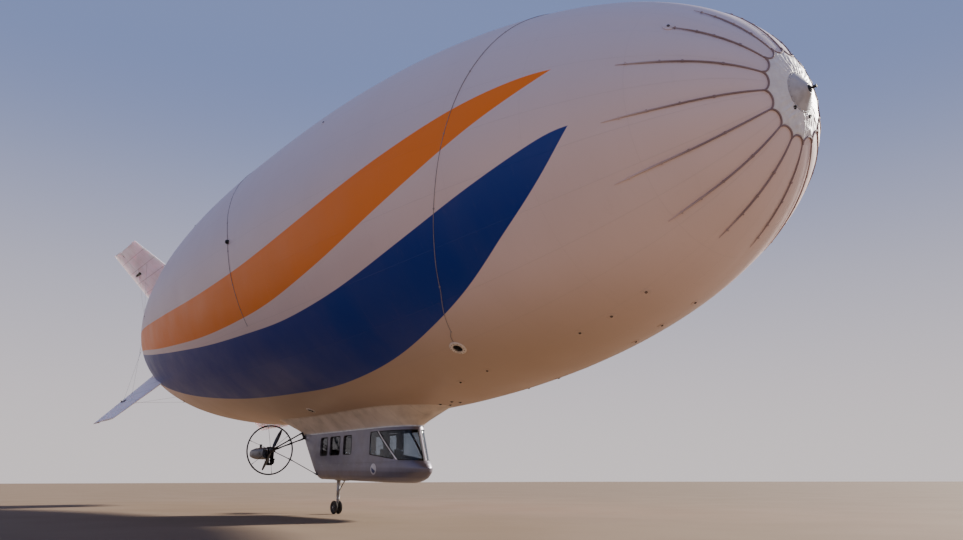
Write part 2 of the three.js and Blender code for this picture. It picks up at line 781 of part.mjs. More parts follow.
function skirt() {
  const foot = ROOF_Z + ROOF_THICK + GAP;
  const { half, nose } = CABIN_LEVELS[0];
  const low = planOutline({ half, rear: rearX(ROOF_Z), nose });
  const high = planOutline({ ...SKIRT_TOP, corner: 420, start: 3300 });
  const steps = 4;
  const lean = 1.35;
  const place = (inset) => (u, v) => {
    const i = Math.round(u * low.length) % low.length;
    const share = v ** lean;
    const x = low[i][0] + (high[i][0] - low[i][0]) * share;
    const y = low[i][1] + (high[i][1] - low[i][1]) * share;
    const top = -Math.sqrt(hullRadius(x) ** 2 - y ** 2) + 40;
    const inward = inset / Math.hypot(x - 2000, 4 * y);
    return new THREE.Vector3(x - (x - 2000) * inward, y - 4 * y * inward, foot + (top - foot) * v);
  };
  return cut(wall(place(0), place(SKIRT_WALL), low.length, steps), HULL_TRIM);
}
piece("gondola_skirt", skirt(), MATERIAL.skirt);

// Inside the cabin

const FLOOR_TOP = -4730;
const FLOOR_THICK = 16;
function cabinFloor() {
  const slab = block(-FAR, 4450, -SIDE_REACH, SIDE_REACH, FLOOR_TOP - FLOOR_THICK, FLOOR_TOP);
  return cabinForm(CABIN_WALL + GAP).intersect(slab);
}
piece("cabin_floor", cabinFloor(), MATERIAL.trim);

// A seat: pedestal, cushion and back, its foot at a height
function seat(x, y, foot) {
  const half = 105;
  return join(
    block(x - 70, x + 70, y - 60, y + 60, foot, foot + 130),
    block(x - 110, x + 115, y - half, y + half, foot + 120, foot + 185),
    block(x - 130, x - 85, y - half, y + half, foot + 120, foot + 520),
  );
}
const SEAT_FOOT = FLOOR_TOP + GAP;
for (const [label, side] of [["port", 1], ["starboard", -1]]) {
  piece(`pilot_seat_${label}`, seat(3600, side * 175, SEAT_FOOT), MATERIAL.seat);
}
function passengerSeats() {
  const rows = [1330, 1860, 2390];
  const railTop = SEAT_FOOT + 14;
  const seats = rows.flatMap((x) => [seat(x, 230, SEAT_FOOT), seat(x, -230, SEAT_FOOT)]);
  const rails = [230, -230].map((y) => block(1200, 2480, y - 20, y + 20, SEAT_FOOT, railTop));
  return join(seats, rails, block(1200, 1230, -230, 230, SEAT_FOOT, railTop));
}
piece("passenger_seats", passengerSeats(), MATERIAL.seat);
function instrumentPanel() {
  const pedestal = block(4060, 4200, -110, 110, SEAT_FOOT, -4520);
  const board = sidePrism([[4020, -4540], [4230, -4540], [4230, -4480], [4120, -4430], [4040, -4430]], 8, -290, 290);
  return join(pedestal, board);
}
piece("instrument_panel", instrumentPanel(), MATERIAL.trim);

// Engines, guards and outriggers, on one side at a time

const GEARBOX = { radius: 50, to: 123 };
const SHAFT = { radius: 16, bore: 16.9, to: PROP_X + 20 };
const ENGINE = { from: -67, to: 77, outboard: 70, inboard: 125, foot: -4520, top: -4085 };

function engineBlock(side) {
  const y = side * RING.y;
  const { from, to, outboard, inboard, foot, top } = ENGINE;
  const [near, far] = side > 0 ? [-inboard, outboard] : [-outboard, inboard];
  const sump = loft(
    [
      { z: foot, inset: 40 },
      { z: foot + 60, inset: 0 },
      { z: top - 30, inset: 0 },
      { z: top, inset: 26 },
    ].map(({ z, inset }) =>
      [
        [from + inset, near + inset],
        [to - inset * 0.4, near + inset],
        [to - inset * 0.4, far - inset],
        [from + inset, far - inset],
      ].map(([x, dy]) => new THREE.Vector3(x, y + dy, z)),
    ),
  );
  const gearbox = rod([to - 20, y, SHAFT_Z], [GEARBOX.to, y, SHAFT_Z], GEARBOX.radius, 16);
  return join(sump, gearbox, rod([to, y, SHAFT_Z], [SHAFT.to, y, SHAFT_Z], SHAFT.radius, 16));
}

function cowl(side) {
  const y = side * RING.y;
  // columns: station, half width, half height, centre height
  const sections = [
    { x: ENGINE.from - GAP, half: 128, tall: 125, z: -4228 },
    { x: -330, half: 150, tall: 143, z: -4230 },
    { x: -680, half: 142, tall: 135, z: -4228 },
    { x: -960, half: 102, tall: 98, z: -4222 },
    { x: -1055, half: 52, tall: 50, z: -4218 },
  ];
  const sides = 16;
  return loft(
    sections.map(({ x, half, tall, z }) => {
      const ring = [];
      for (let i = 0; i < sides; i++) {
        const turn = (2 * Math.PI * i) / sides;
        const c = Math.cos(turn);
        const s = Math.sin(turn);
        const square = (value) => Math.sign(value) * Math.abs(value) ** 0.75;
        ring.push(new THREE.Vector3(x, y + half * square(c), z + tall * square(s)));
      }
      return ring;
    }),
  );
}

// The guard ring, its spokes and collar, and the lower strut to the gondola. The first spoke
// is thicker than the rest and lies in line with the strut.
function ringGuard(side) {
  const y = side * RING.y;
  const hoopSections = 6;
  const hoopProfile = [];
  for (let i = 0; i <= hoopSections; i++) {
    const turn = (2 * Math.PI * (i % hoopSections)) / hoopSections;
    hoopProfile.push([RING.radius + RING.tube * Math.cos(turn), RING.tube * Math.sin(turn)]);
  }
  const hoop = turned(hoopProfile, 36).translate([RING.x, y, RING.z]);
  const collarX = [83, 107];
  const collar = cut(
    rod([collarX[0], y, SHAFT_Z], [collarX[1], y, SHAFT_Z], GEARBOX.radius + 14, 16),
    rod([collarX[0] - 20, y, SHAFT_Z], [collarX[1] + 20, y, SHAFT_Z], GEARBOX.radius + GAP, 16),
  );
  const at = (radius, turn, x) => [x, y - side * radius * Math.cos(turn), RING.z + radius * Math.sin(turn)];
  const spokes = [];
  for (let k = 0; k < SPOKES; k++) {
    const turn = SPOKE_TURN + (2 * Math.PI * k) / SPOKES;
    spokes.push(rod(at(GEARBOX.radius + 8, turn, 98), at(RING.radius, turn, RING.x), k ? 5 : 9, k ? 6 : 8));
  }
  const [px, pz] = [800, -4725];
  const strut = rod(at(RING.radius, SPOKE_TURN, RING.x), [px, side * (cabinHalf(pz) + 8), pz], 10, 8);
  const padThick = side > 0 ? [cabinHalf(pz) - 6, cabinHalf(pz) + 14] : [-cabinHalf(pz) - 14, -cabinHalf(pz) + 6];
  const pad = block(px - 40, px + 40, ...padThick, pz - 22, pz + 22);
  return cut(join(hoop, collar, spokes, strut, pad), CABIN_TRIM);
}

// The two upper struts, from a plate on the engine to the gondola's top rear corner,
// where the higher one ends on a knee that stands out beside the skirt
const KNEE = { from: 4, to: 36, outer: 486, top: -3720 };
function outrigger(side) {
  const inboard = RING.y - ENGINE.inboard - GAP;
  const plateEdges = [side * inboard, side * (inboard - 12)].sort((a, b) => a - b);
  const plate = block(-20, 76, ...plateEdges, -4200, -4095);
  const kneeFoot = cabinHalf(ROOF_Z) - 10;
  const kneeSide = [
    [kneeFoot, -3880],
    [kneeFoot + 32, -3880],
    [KNEE.outer, KNEE.top - 34],
    [KNEE.outer, KNEE.top],
    [KNEE.outer - 30, KNEE.top],
    [kneeFoot + 12, ROOF_Z - 12],
  ];
  const knee = loft([KNEE.from, KNEE.to].map((x) => kneeSide.map(([y, z]) => new THREE.Vector3(x, side * y, z))));
  const bodies = [plate, knee];
  // columns: engine end and gondola end as x and z, gondola end off the middle
  const struts = [
    { fromX: 30, fromZ: -4120, toX: 20, toZ: KNEE.top - 10, toY: KNEE.outer - 14 },
    { fromX: 12, fromZ: -4150, toX: 44, toZ: -3862, toY: cabinHalf(-3862) + 8 },
  ];
  for (const { fromX, fromZ, toX, toZ, toY } of struts) {
    bodies.push(rod([fromX, side * (inboard - 8), fromZ], [toX, side * toY, toZ], 19, 10));
  }
  const padHalf = cabinHalf(-3862);
  const padEdges = side > 0 ? [padHalf - 10, padHalf + 16] : [-padHalf - 16, -padHalf + 10];
  bodies.push(block(-10, 82, ...padEdges, -3890, -3820));
  return cut(join(bodies), CABIN_TRIM);
}

// Half width of the gondola at a height
function cabinHalf(z) {
  const above = CABIN_LEVELS.findIndex((level) => level.z <= z);
  const high = CABIN_LEVELS[Math.max(above - 1, 0)];
  const low = CABIN_LEVELS[above];
  const share = high === low ? 0 : (high.z - z) / (high.z - low.z);
  return high.half + (low.half - high.half) * share;
}

const CABIN_TRIM = cabinForm(-GAP);

function propeller() {
  // columns: radius, chord, pitch in degrees, thickness
  const stations = [
    { radius: 30, chord: 46, pitch: 55, thick: 30 },
    { radius: 110, chord: 78, pitch: 42, thick: 22 },
    { radius: 250, chord: 92, pitch: 28, thick: 14 },
    { radius: 410, chord: 76, pitch: 20, thick: 10 },
    { radius: PROP_RADIUS, chord: 40, pitch: 16, thick: 6 },
  ];
  const lens = [[0.5, 0], [0.2, 0.42], [-0.2, 0.42], [-0.5, 0], [-0.2, -0.42], [0.2, -0.42]];
  const blade = (sign) =>
    loft(
      stations.map(({ radius, chord, pitch, thick }) =>
        lens.map(([along, across]) => {
          const turn = THREE.MathUtils.degToRad(pitch);
          const a = along * chord;
          const t = across * thick;
          const x = a * Math.sin(turn) + t * Math.cos(turn);
          return new THREE.Vector3(x, sign * (a * Math.cos(turn) - t * Math.sin(turn)), sign * radius);
        }),
      ),
    );
  const back = GEARBOX.to + 6 - PROP_X;
  const hub = turned([[0, back], [46, back], [58, back + 20], [58, 26], [40, 62], [16, 84], [0, 88]], 20);
  const bore = rod([back - 10, 0, 0], [SHAFT.to + 4 - PROP_X, 0, 0], SHAFT.bore, 16);
  return cut(join(hub, blade(1), blade(-1)), bore);
}

for (const [label, side] of [["port", 1], ["starboard", -1]]) {
  piece(`engine_${label}`, engineBlock(side), MATERIAL.steel);
  piece(`engine_cowl_${label}`, cowl(side), MATERIAL.cowl);
  piece(`ring_guard_${label}`, ringGuard(side), MATERIAL.steel);
  piece(`outrigger_${label}`, outrigger(side), MATERIAL.steel);
  const shaft = new THREE.Group();
  shaft.position.set(PROP_X, side * RING.y, SHAFT_Z);
  shaft.rotation.x = side * PROP_REST;
  airship.add(shaft);
  piece(`propeller_${label}`, propeller(), MATERIAL.blade, shaft);
}

// Landing gear: a leg, a castering fork and twin wheels

const AXLE = { x: GEAR.x - GEAR.trail, z: GEAR.ground + GEAR.wheel, radius: 11 };
const LEG_FOOT = -5250;
const STEM = 20;
const BORE = 20.7;
const STEM_TOP = LEG_FOOT + 130;

function gearLeg() {
  const top = KEEL_Z + 30;
  const post = rod([GEAR.x, 0, LEG_FOOT], [GEAR.x, 0, top], 40, 16, 46);
  const brace = rod([GEAR.x + 40, 0, LEG_FOOT + 150], [GEAR.x + 330, 0, top], 14, 8);
  const feet = [GEAR.x, GEAR.x + 330].map((x) => block(x - 75, x + 75, -60, 60, top - 60, top));
  const bore = rod([GEAR.x, 0, LEG_FOOT - 10], [GEAR.x, 0, STEM_TOP + 10], BORE, 16);
  return cut(join(post, brace, feet), bore, CABIN_TRIM);
}
piece("gear_leg", gearLeg(), MATERIAL.alloy);

function gearFork() {
  const crown = LEG_FOOT - GAP - 5;
  const stem = rod([GEAR.x, 0, crown - 20], [GEAR.x, 0, STEM_TOP], STEM, 16);
  const head = rod([GEAR.x, 0, crown - 56], [GEAR.x, 0, crown], 38, 16);
  const arm = sidePrism(
    [
      [GEAR.x + 30, crown - 20],
      [GEAR.x - 36, crown - 20],
      [AXLE.x - 30, AXLE.z + 20],
      [AXLE.x - 20, AXLE.z - 30],
      [AXLE.x + 24, AXLE.z - 28],
      [GEAR.x + 26, crown - 90],
    ],
    10,
    -15,
    15,
  );
  const eye = rod([AXLE.x, -60, AXLE.z], [AXLE.x, 60, AXLE.z], 11.8, 16);
  return cut(join(stem, head, arm), eye);
}
piece("gear_fork", gearFork(), MATERIAL.alloy);

const wheels = new THREE.Group();
wheels.position.set(AXLE.x, 0, AXLE.z);
wheels.rotation.z = Math.PI / 2;
airship.add(wheels);
const RIM_RADIUS = 82;
const WHEEL_SIDES = 24;

function wheelRims() {
  const rims = [GEAR.track, -GEAR.track].map((x) =>
    turned([[0, x - 24], [30, x - 24], [RIM_RADIUS, x - 18], [RIM_RADIUS, x + 18], [30, x + 24], [0, x + 24]], WHEEL_SIDES),
  );
  const hubGap = 8;
  const spacers = [1, -1].map((side) => rod([side * (15 + hubGap), 0, 0], [side * 60, 0, 0], 24, 16));
  return join(rims, spacers, rod([-96, 0, 0], [96, 0, 0], AXLE.radius, 16));
}
piece("wheel_rims", wheelRims(), MATERIAL.alloy, wheels);

function tyre(x) {
  const bore = RIM_RADIUS + GAP;
  const half = GEAR.tyre / 2;
  // columns: share of the wall height, share of the half width
  const shape = [
    [0, 0.62],
    [0.45, 1],
    [0.8, 0.9],
    [0.96, 0.6],
    [1, 0.3],
  ];
  const outside = shape.map(([rise, width]) => [bore + (GEAR.wheel - bore) * rise, x + half * width]);
  const inside = shape.map(([rise, width]) => [bore + (GEAR.wheel - bore) * rise, x - half * width]).reverse();
  return turned([...outside, ...inside, outside[0]], WHEEL_SIDES);
}
for (const [label, side] of [["port", 1], ["starboard", -1]]) {
  piece(`tyre_${label}`, tyre(side * GEAR.track), MATERIAL.rubber, wheels);
}

export default airship;
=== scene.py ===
import math
from itertools import product

import bmesh
import bpy
import numpy as np
from mathutils import Matrix, Vector


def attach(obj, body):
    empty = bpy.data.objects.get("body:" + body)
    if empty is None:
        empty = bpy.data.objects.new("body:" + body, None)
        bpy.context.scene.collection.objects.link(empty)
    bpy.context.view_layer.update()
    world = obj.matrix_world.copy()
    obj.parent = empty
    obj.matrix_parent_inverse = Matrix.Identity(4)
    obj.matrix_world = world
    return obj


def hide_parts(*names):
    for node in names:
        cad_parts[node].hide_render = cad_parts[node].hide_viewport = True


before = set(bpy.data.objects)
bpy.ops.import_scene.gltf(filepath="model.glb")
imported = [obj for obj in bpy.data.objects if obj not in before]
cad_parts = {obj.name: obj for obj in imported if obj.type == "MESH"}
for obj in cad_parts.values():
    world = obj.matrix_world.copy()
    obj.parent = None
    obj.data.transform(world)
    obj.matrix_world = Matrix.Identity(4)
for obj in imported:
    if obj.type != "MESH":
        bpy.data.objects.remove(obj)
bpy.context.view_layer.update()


# Camera
# It stands on the ground ahead of the ship, to starboard, and looks up at the hull
# from about eye height, with a wide lens held level.
CAMERA_SPOT = (18.149, -8.859, -4.883)
CAMERA_AHEAD = Vector((-0.7634, 0.5896, 0.2637)).normalized()
CAMERA_RIGHT = Vector((0.6108, 0.7918, -0.0020)).normalized()


def new_object(name, data):
    """An object in the scene that holds the data."""
    obj = bpy.data.objects.new(name, data)
    bpy.context.scene.collection.objects.link(obj)
    return obj


camera = new_object("camera", bpy.data.cameras.new("camera"))
camera.data.sensor_width = 36
camera.data.lens = 28.83
camera.data.clip_end = 2000
bpy.context.scene.camera = camera
axes = Matrix((CAMERA_RIGHT, CAMERA_RIGHT.cross(CAMERA_AHEAD), -CAMERA_AHEAD)).transposed()
camera.matrix_world = Matrix.Translation(CAMERA_SPOT) @ axes.to_4x4()


# Studio
# A plain pale floor at the height where the wheels touch, a soft sun on the far side
# of the nose as in the picture, and a pale sky that fills the shaded side.
GROUND = -5.625
FLOOR_REACH = 400
FLOOR_BROWNS = ((0.185, 0.132, 0.09), (0.205, 0.15, 0.105))
SKY_LOW, SKY_HIGH = (1.0, 0.91, 0.92), (0.26, 0.335, 0.64)
SUN_FROM = Vector((0.05, 0.90, 0.43))


class Signal:
    """One output of a node. Arithmetic on it adds math nodes."""

    def __init__(self, tree, socket):
        self.tree, self.socket = tree, socket

    def calc(self, operation, *values, clamp=False):
        return put(self.tree, "ShaderNodeMath", dict(enumerate(values)), operation=operation, use_clamp=clamp)

    def __add__(self, other):
        return self.calc("ADD", self, other)

    def __sub__(self, other):
        return self.calc("SUBTRACT", self, other)

    def __rsub__(self, other):
        return self.calc("SUBTRACT", other, self)

    def __mul__(self, other):
        return self.calc("MULTIPLY", self, other)

    def __pow__(self, power):
        return self.calc("POWER", self, power)

    def __abs__(self):
        return self.calc("ABSOLUTE", self)

    def larger(self, other):
        return self.calc("MAXIMUM", self, other)


def put(tree, kind, inputs=None, out=0, **options):
    """Adds a node with its options, fills sockets with values or signals, and gives one output."""
    node = tree.nodes.new(kind)
    for key, value in options.items():
        setattr(node, key, value)
    for key, value in (inputs or {}).items():
        socket = node.inputs[key]
        if isinstance(value, Signal):
            tree.links.new(value.socket, socket)
        else:
            socket.default_value = (*value, 1) if socket.type == "RGBA" else value
    return Signal(tree, node.outputs[out])


def mix(share, a, b):
    """Mixes two colours by a share from 0 to 1."""
    return put(share.tree, "ShaderNodeMix", {0: share, 6: a, 7: b}, out=2, data_type="RGBA")


def ramp(value, low, high):
    """0 below low and 1 above high, smooth between them."""
    return put(value.tree, "ShaderNodeMapRange", {0: value, 1: low, 2: high}, interpolation_type="SMOOTHSTEP")


def spread(value, low, high, start=0.0, end=1.0):
    """A value from low to high turned into one from start to end."""
    return put(value.tree, "ShaderNodeMapRange", {0: value, 1: low, 2: high, 3: start, 4: end})


def noise(vector, scale, detail=3.0, rough=0.55):
    """A noise value from 0 to 1 over a vector in metres."""
    return put(vector.tree, "ShaderNodeTexNoise",
               {"Vector": vector, "Scale": scale, "Detail": detail, "Roughness": rough})


def stretched(vector, scale):
    """The vector scaled along each axis."""
    return put(vector.tree, "ShaderNodeVectorMath", {0: vector, 1: scale}, operation="MULTIPLY")


def split(vector):
    """The three axes of a vector."""
    first = put(vector.tree, "ShaderNodeSeparateXYZ", {0: vector})
    return [Signal(vector.tree, output) for output in first.socket.node.outputs]


def node_group(name, make, gives, takes):
    """A group of nodes with sockets as (label, kind, value). The function make turns its
    inputs into its output."""
    tree = bpy.data.node_groups.new(name, "ShaderNodeTree")
    for label, kind, value in takes:
        tree.interface.new_socket(label, in_out="INPUT",
                                  socket_type="NodeSocket" + kind).default_value = value
    tree.interface.new_socket(gives, in_out="OUTPUT",
                              socket_type="NodeSocketColor" if gives == "Color" else "NodeSocketFloat")
    given = tree.nodes.new("NodeGroupInput").outputs
    result = make(*[Signal(tree, given[label]) for label, _, _ in takes])
    tree.links.new(result.socket, tree.nodes.new("NodeGroupOutput").inputs[0])
    return tree


def soil(position, color, dirt, amount, scale):
    """Cloudy stains and fine specks, more of both on faces that look down."""
    cloud = put(position.tree, "ShaderNodeTexNoise", {"Vector": position, "Scale": scale, "Detail": 5.0})
    specks = put(position.tree, "ShaderNodeTexNoise",
                 {"Vector": position, "Scale": scale * 14.0, "Detail": 2.0})
    normal = put(position.tree, "ShaderNodeNewGeometry", out="Normal")
    down = spread(split(normal)[2], 0.4, -1.0, 0.5, 1.0)
    stain = (ramp(cloud, 0.42, 0.72) + ramp(specks, 0.6, 0.75) * 0.5) * down
    return mix(stain.calc("MULTIPLY", stain, amount, clamp=True), color, dirt)


SOIL = node_group("Soil", soil, "Color", [
    ("Position", "Vector", (0, 0, 0)), ("Color", "Color", (1, 1, 1, 1)),
    ("Dirt", "Color", (0.2, 0.15, 0.1, 1)),
    ("Amount", "Float", 0.2), ("Scale", "Float", 1.0)])


def grouped(group, *values):
    """Places a node group, fills its sockets in order and gives its output."""
    return put(values[0].tree, "ShaderNodeGroup", dict(enumerate(values)), node_tree=group)


class Paint:
    """A material with one Principled shader, its constant sockets set from the start."""

    def __init__(self, name, roughness=0.5, specular=0.5, metallic=0.0, more=None):
        self.material = bpy.data.materials.new(name)
        self.material.use_nodes = True
        self.tree = self.material.node_tree
        self.shader = self.tree.nodes["Principled BSDF"]
        self.position = put(self.tree, "ShaderNodeTexCoord", out="Object")
        values = {"Roughness": roughness, "Specular IOR Level": specular, "Metallic": metallic,
                  **(more or {})}
        for label, value in values.items():
            self.shader.inputs[label].default_value = value

    def noise(self, scale, detail=3.0, rough=0.55, stretch=None):
        vector = stretched(self.position, stretch) if stretch else self.position
        return noise(vector, scale, detail, rough)

    def mottle(self, scale, detail, low, high, dark, light, rough=0.55):
        """Two colours in soft patches."""
        return mix(ramp(self.noise(scale, detail, rough), low, high), dark, light)

    def soil(self, color, dirt, amount, scale, stretch=None):
        vector = stretched(self.position, stretch) if stretch else self.position
        return grouped(SOIL, vector, color, dirt, amount, scale)

    def finish(self, color, height=None, distance=0.002, roughness=None, strength=1.0):
        """Links colour, a bump height in metres and roughness to the shader and gives the material."""
        bump = height and put(self.tree, "ShaderNodeBump",
                              {"Height": height, "Distance": distance, "Strength": strength})
        for label, signal in (("Base Color", color), ("Roughness", roughness), ("Normal", bump)):
            if signal:
                self.tree.links.new(signal.socket, self.shader.inputs[label])
        return self.material


def plain_paint(name, spots, bump=None, dirt=None, color=None, **sockets):
    """Paint in one colour or in soft patches of two, soiled and faintly uneven. The tuples are
    spots (scale, detail, low, high, dark, light), bump (scale, distance) and dirt (colour,
    amount, scale)."""
    paint = Paint(name, **sockets)
    color = color or paint.mottle(*spots)
    if dirt:
        color = paint.soil(color, *dirt)
    return paint.finish(color, bump and paint.noise(bump[0]), bump and bump[1])


floor_mesh = bpy.data.meshes.new("floor")
floor_corners = [(a * FLOOR_REACH, b * FLOOR_REACH, GROUND) for a, b in ((-1, -1), (1, -1), (1, 1), (-1, 1))]
floor_mesh.from_pydata(floor_corners, [], [(0, 1, 2, 3)])
floor_mesh.materials.append(
    plain_paint("floor", (0.35, 3.0, 0.3, 0.7, *FLOOR_BROWNS), (60.0, 0.002), roughness=0.9, specular=0.1))
new_object("floor", floor_mesh)

world = bpy.data.worlds.new("studio")
world.use_nodes = True
bpy.context.scene.world = world
sky = world.node_tree
height = split(put(sky, "ShaderNodeTexCoord", out="Generated"))[2]
sky_color = mix(ramp(height, -0.02, 0.5), SKY_LOW, SKY_HIGH)
sky.nodes["Background"].inputs["Strength"].default_value = 0.85
sky.links.new(sky_color.socket, sky.nodes["Background"].inputs["Color"])

sun = new_object("sun", bpy.data.lights.new("sun", "SUN"))
sun.data.energy = 13
sun.data.angle = math.radians(6)
sun.data.color = (1.0, 0.93, 0.84)
sun.rotation_euler = SUN_FROM.to_track_quat("Z", "Y").to_euler()


# Envelope
# The hull is a sewn bag of white coated fabric, held round by the gas in it. It is fullest
# ahead of its middle, with long seams, faint cross seams and sweeping coloured stripes.
HULL_HALF = 13.5
HULL_RADIUS = 3.515
FULLEST_X = 1.445
NOSE_OPENING = 0.24
TAIL_OPENING = 0.20
BATTENS = 16
BATTEN_TURN = 2 * math.pi / BATTENS
# columns: run exponent, girth exponent, reach from the fullest station
HULL_FORE = (2.714, 2.109, HULL_HALF - FULLEST_X)
HULL_AFT = (2.107, 1.511, HULL_HALF + FULLEST_X)
FABRIC_WHITE = (0.72, 0.635, 0.68)
# The flank and belly colours are painted light: a rosy painted ground bounce on the flank, and painted shade,
# browner and darker, on the belly.
FLANK_PAINTED_BOUNCE = (0.84, 0.66, 0.63)
BELLY_PAINTED_SHADE = (0.53, 0.38, 0.28)
STRIPE_BLUE = (0.009, 0.036, 0.27)
STRIPE_ORANGE = (1.0, 0.23, 0.001)
DUST = (0.30, 0.23, 0.17)
GORE_TURN = math.radians(15)
CROSS_SEAM_PITCH = 1.35
SEAM_HALF_WIDTH = 0.008
BATTEN_PRESS = 0.014
RIBBON_STATIONS = (-13.4, -8, -3, 2, 5, 8, 10.2, 11.5)
# columns of each ribbon: degrees down from the top, half width, at each station
RIBBONS = (
    (STRIPE_BLUE, ((116, 0.35), (124, 0.55), (131, 0.75), (136, 0.85), (136, 0.85), (128, 0.72), (114, 0.42),
                   (98, -0.03))),
    (STRIPE_ORANGE, ((94, 0.15), (102, 0.3), (108, 0.42), (109, 0.5), (105, 0.5), (95, 0.4), (83, 0.2),
                     (74, -0.1))),
)


def hull_radius(x):
    """R (1 - t^run)^(1 / girth), with t the share of the reach from the fullest station."""
    x = np.asarray(x, float)
    run, girth, reach = (np.where(x > FULLEST_X, fore, aft) for fore, aft in zip(HULL_FORE, HULL_AFT))
    share = np.minimum(np.abs(x - FULLEST_X) / reach, 1)
    return HULL_RADIUS * (1 - share**run) ** (1 / girth)


def hull_station(radius, fore=True):
    """The station where the fore or aft half has a radius."""
    run, girth, reach = HULL_FORE if fore else HULL_AFT
    step = reach * (1 - (np.asarray(radius) / HULL_RADIUS) ** girth) ** (1 / run)
    return FULLEST_X + step if fore else FULLEST_X - step


def xyz(x, y, z):
    """Points from three arrays of like or repeating shape."""
    return np.stack(np.broadcast_arrays(x, y, z), axis=-1)


def on_hull(x, angle, lift=0.0):
    """Points at stations x and angles from the top towards port, lifted along the hull's normal."""
    x = np.asarray(x, float)
    slope = (hull_radius(x + 5e-4) - hull_radius(x - 5e-4)) / 1e-3
    size = np.hypot(1, slope)
    radius = hull_radius(x) + lift / size
    return xyz(x - lift * slope / size, radius * np.sin(angle), radius * np.cos(angle))


def hull_normal(x, angle):
    """The hull's outward direction at stations and angles, of length one."""
    return on_hull(x, angle, 1.0) - on_hull(x, angle)


def turns(count, shift=0.0):
    """Angles at even steps round a circle, the first one a share of a step on."""
    return 2 * math.pi * (np.arange(count) + shift) / count


def round_x(spot, radius, turn):
    """The point at an angle from the top round an axis along the ship."""
    return np.array([spot[0], spot[1] + radius * math.sin(turn), spot[2] + radius * math.cos(turn)])


def grid_faces(rows, cols, wrap_rows=False, wrap_cols=False):
    """Quads of a grid of rows times cols points, in row order."""
    r = np.arange(rows if wrap_rows else rows - 1)[:, None]
    c = np.arange(cols if wrap_cols else cols - 1)[None, :]
    below, right = (r + 1) % rows, (c + 1) % cols
    corners = (r * cols + c, r * cols + right, below * cols + right, below * cols + c)
    return np.stack(np.broadcast_arrays(*corners), -1).reshape(-1, 4).tolist()


class Form:
    """Collects the parts of one piece, each as points, faces and a material number."""

    def __init__(self, roll=0):
        self.roll = math.radians(roll)
        self.points, self.faces, self.marks = [], [], []
        self.count = 0

    def add(self, part, mark=0):
        """Takes a part in, faces outward, turned about the hull's axis by the form's roll."""
        points, faces = part
        x, y, z = np.asarray(points, float).reshape(-1, 3).T
        cos, sin = math.cos(self.roll), math.sin(self.roll)
        points = xyz(x, y * cos - z * sin, y * sin + z * cos)
        centre = points.mean(axis=0)
        fan = [(f[0], f[k], f[k + 1]) for f in faces for k in range(1, len(f) - 1)]
        a, b, c = (points[[t[k] for t in fan]] - centre for k in range(3))
        inside_out = np.einsum("ij,ij->i", a, np.cross(b, c)).sum() < 0
        self.points.append(points)
        self.faces += [tuple(i + self.count for i in (face[::-1] if inside_out else face)) for face in faces]
        self.marks += [mark] * len(faces)
        self.count += len(points)
        return self

    def piece(self, name, materials, slot, replaces=(), body="hull", crease=38):
        """Makes the mesh object, smooth but for edges sharper than the crease angle, ties it
        to its body and hides the solids it stands for."""
        mesh = bpy.data.meshes.new(name)
        mesh.from_pydata(np.concatenate(self.points).tolist(), [], self.faces)
        for material in materials:
            mesh.materials.append(material)
        mesh.polygons.foreach_set("material_index", self.marks)
        mesh.polygons.foreach_set("use_smooth", [True] * len(mesh.polygons))
        work = bmesh.new()
        work.from_mesh(mesh)
        limit = math.radians(crease)
        for edge in work.edges:
            edge.smooth = len(edge.link_faces) == 2 and edge.calc_face_angle(0) < limit
        work.to_mesh(mesh)
        work.free()
        obj = new_object(name, mesh)
        if replaces:
            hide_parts(*replaces)
        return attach(obj, body)


def waves(points, size, seed, octaves=3):
    """Smooth seeded ripple from -1 to 1, a sum of sines over points with wavelengths from size down."""
    rng = np.random.default_rng(seed)
    total = np.zeros(points.shape[:-1])
    weight = 0
    for octave in range(octaves):
        for _ in range(5):
            direction = rng.normal(size=3)
            direction *= 2 * math.pi * 2**octave / size / np.linalg.norm(direction)
            total += np.sin(points @ direction + rng.uniform(0, 2 * math.pi)) / 2**octave
        weight += 5 / 2**octave
    return total / weight * 2


def fabric_with_painted_shade(z):
    """White above, then painted light by height: a rosy painted ground bounce on the flank, and painted
    shade, browner and darker, towards the belly.
    """
    flank = mix(ramp(z, 0.9, -0.9), FABRIC_WHITE, FLANK_PAINTED_BOUNCE)
    return mix(ramp(z, -1.7, -3.05), flank, BELLY_PAINTED_SHADE)


def curve_value(value, points):
    """Reads a value off a smooth curve through points, both of them from 0 to 1."""
    curved = put(value.tree, "ShaderNodeFloatCurve", {"Value": value})
    mapping = curved.socket.node.mapping
    curve = mapping.curves[0]
    for place, level in points[1:-1]:
        curve.points.new(place, level)
    curve.points[0].location, curve.points[len(points) - 1].location = points[0], points[-1]
    mapping.update()
    return curved


def thin_lines(along, pitch, half_width):
    """Evenly spaced thin lines: 1 on each line, falling to 0 at its edges."""
    away = abs(along.calc("WRAP", along, pitch * 0.5, pitch * -0.5))
    return away.calc("SUBTRACT", 1.0, away.calc("DIVIDE", away, half_width, clamp=True), clamp=True)


def ribbon_mask(turn, radius, centre, half_width):
    """A ribbon along the hull: 1 where the turn lies within a half width of its centre line."""
    return ramp(abs(turn - centre) * radius - half_width, 0.006, -0.006)


SEAM_LINES = node_group("SeamLines", thin_lines, "Line", [
    ("Along", "Float", 0.0), ("Pitch", "Float", 1.0), ("Half Width", "Float", 0.01)])
HULL_RIBBON = node_group("HullRibbon", ribbon_mask, "Mask", [
    (label, "Float", 0.0) for label in ("Turn", "Radius", "Centre", "Half Width")])


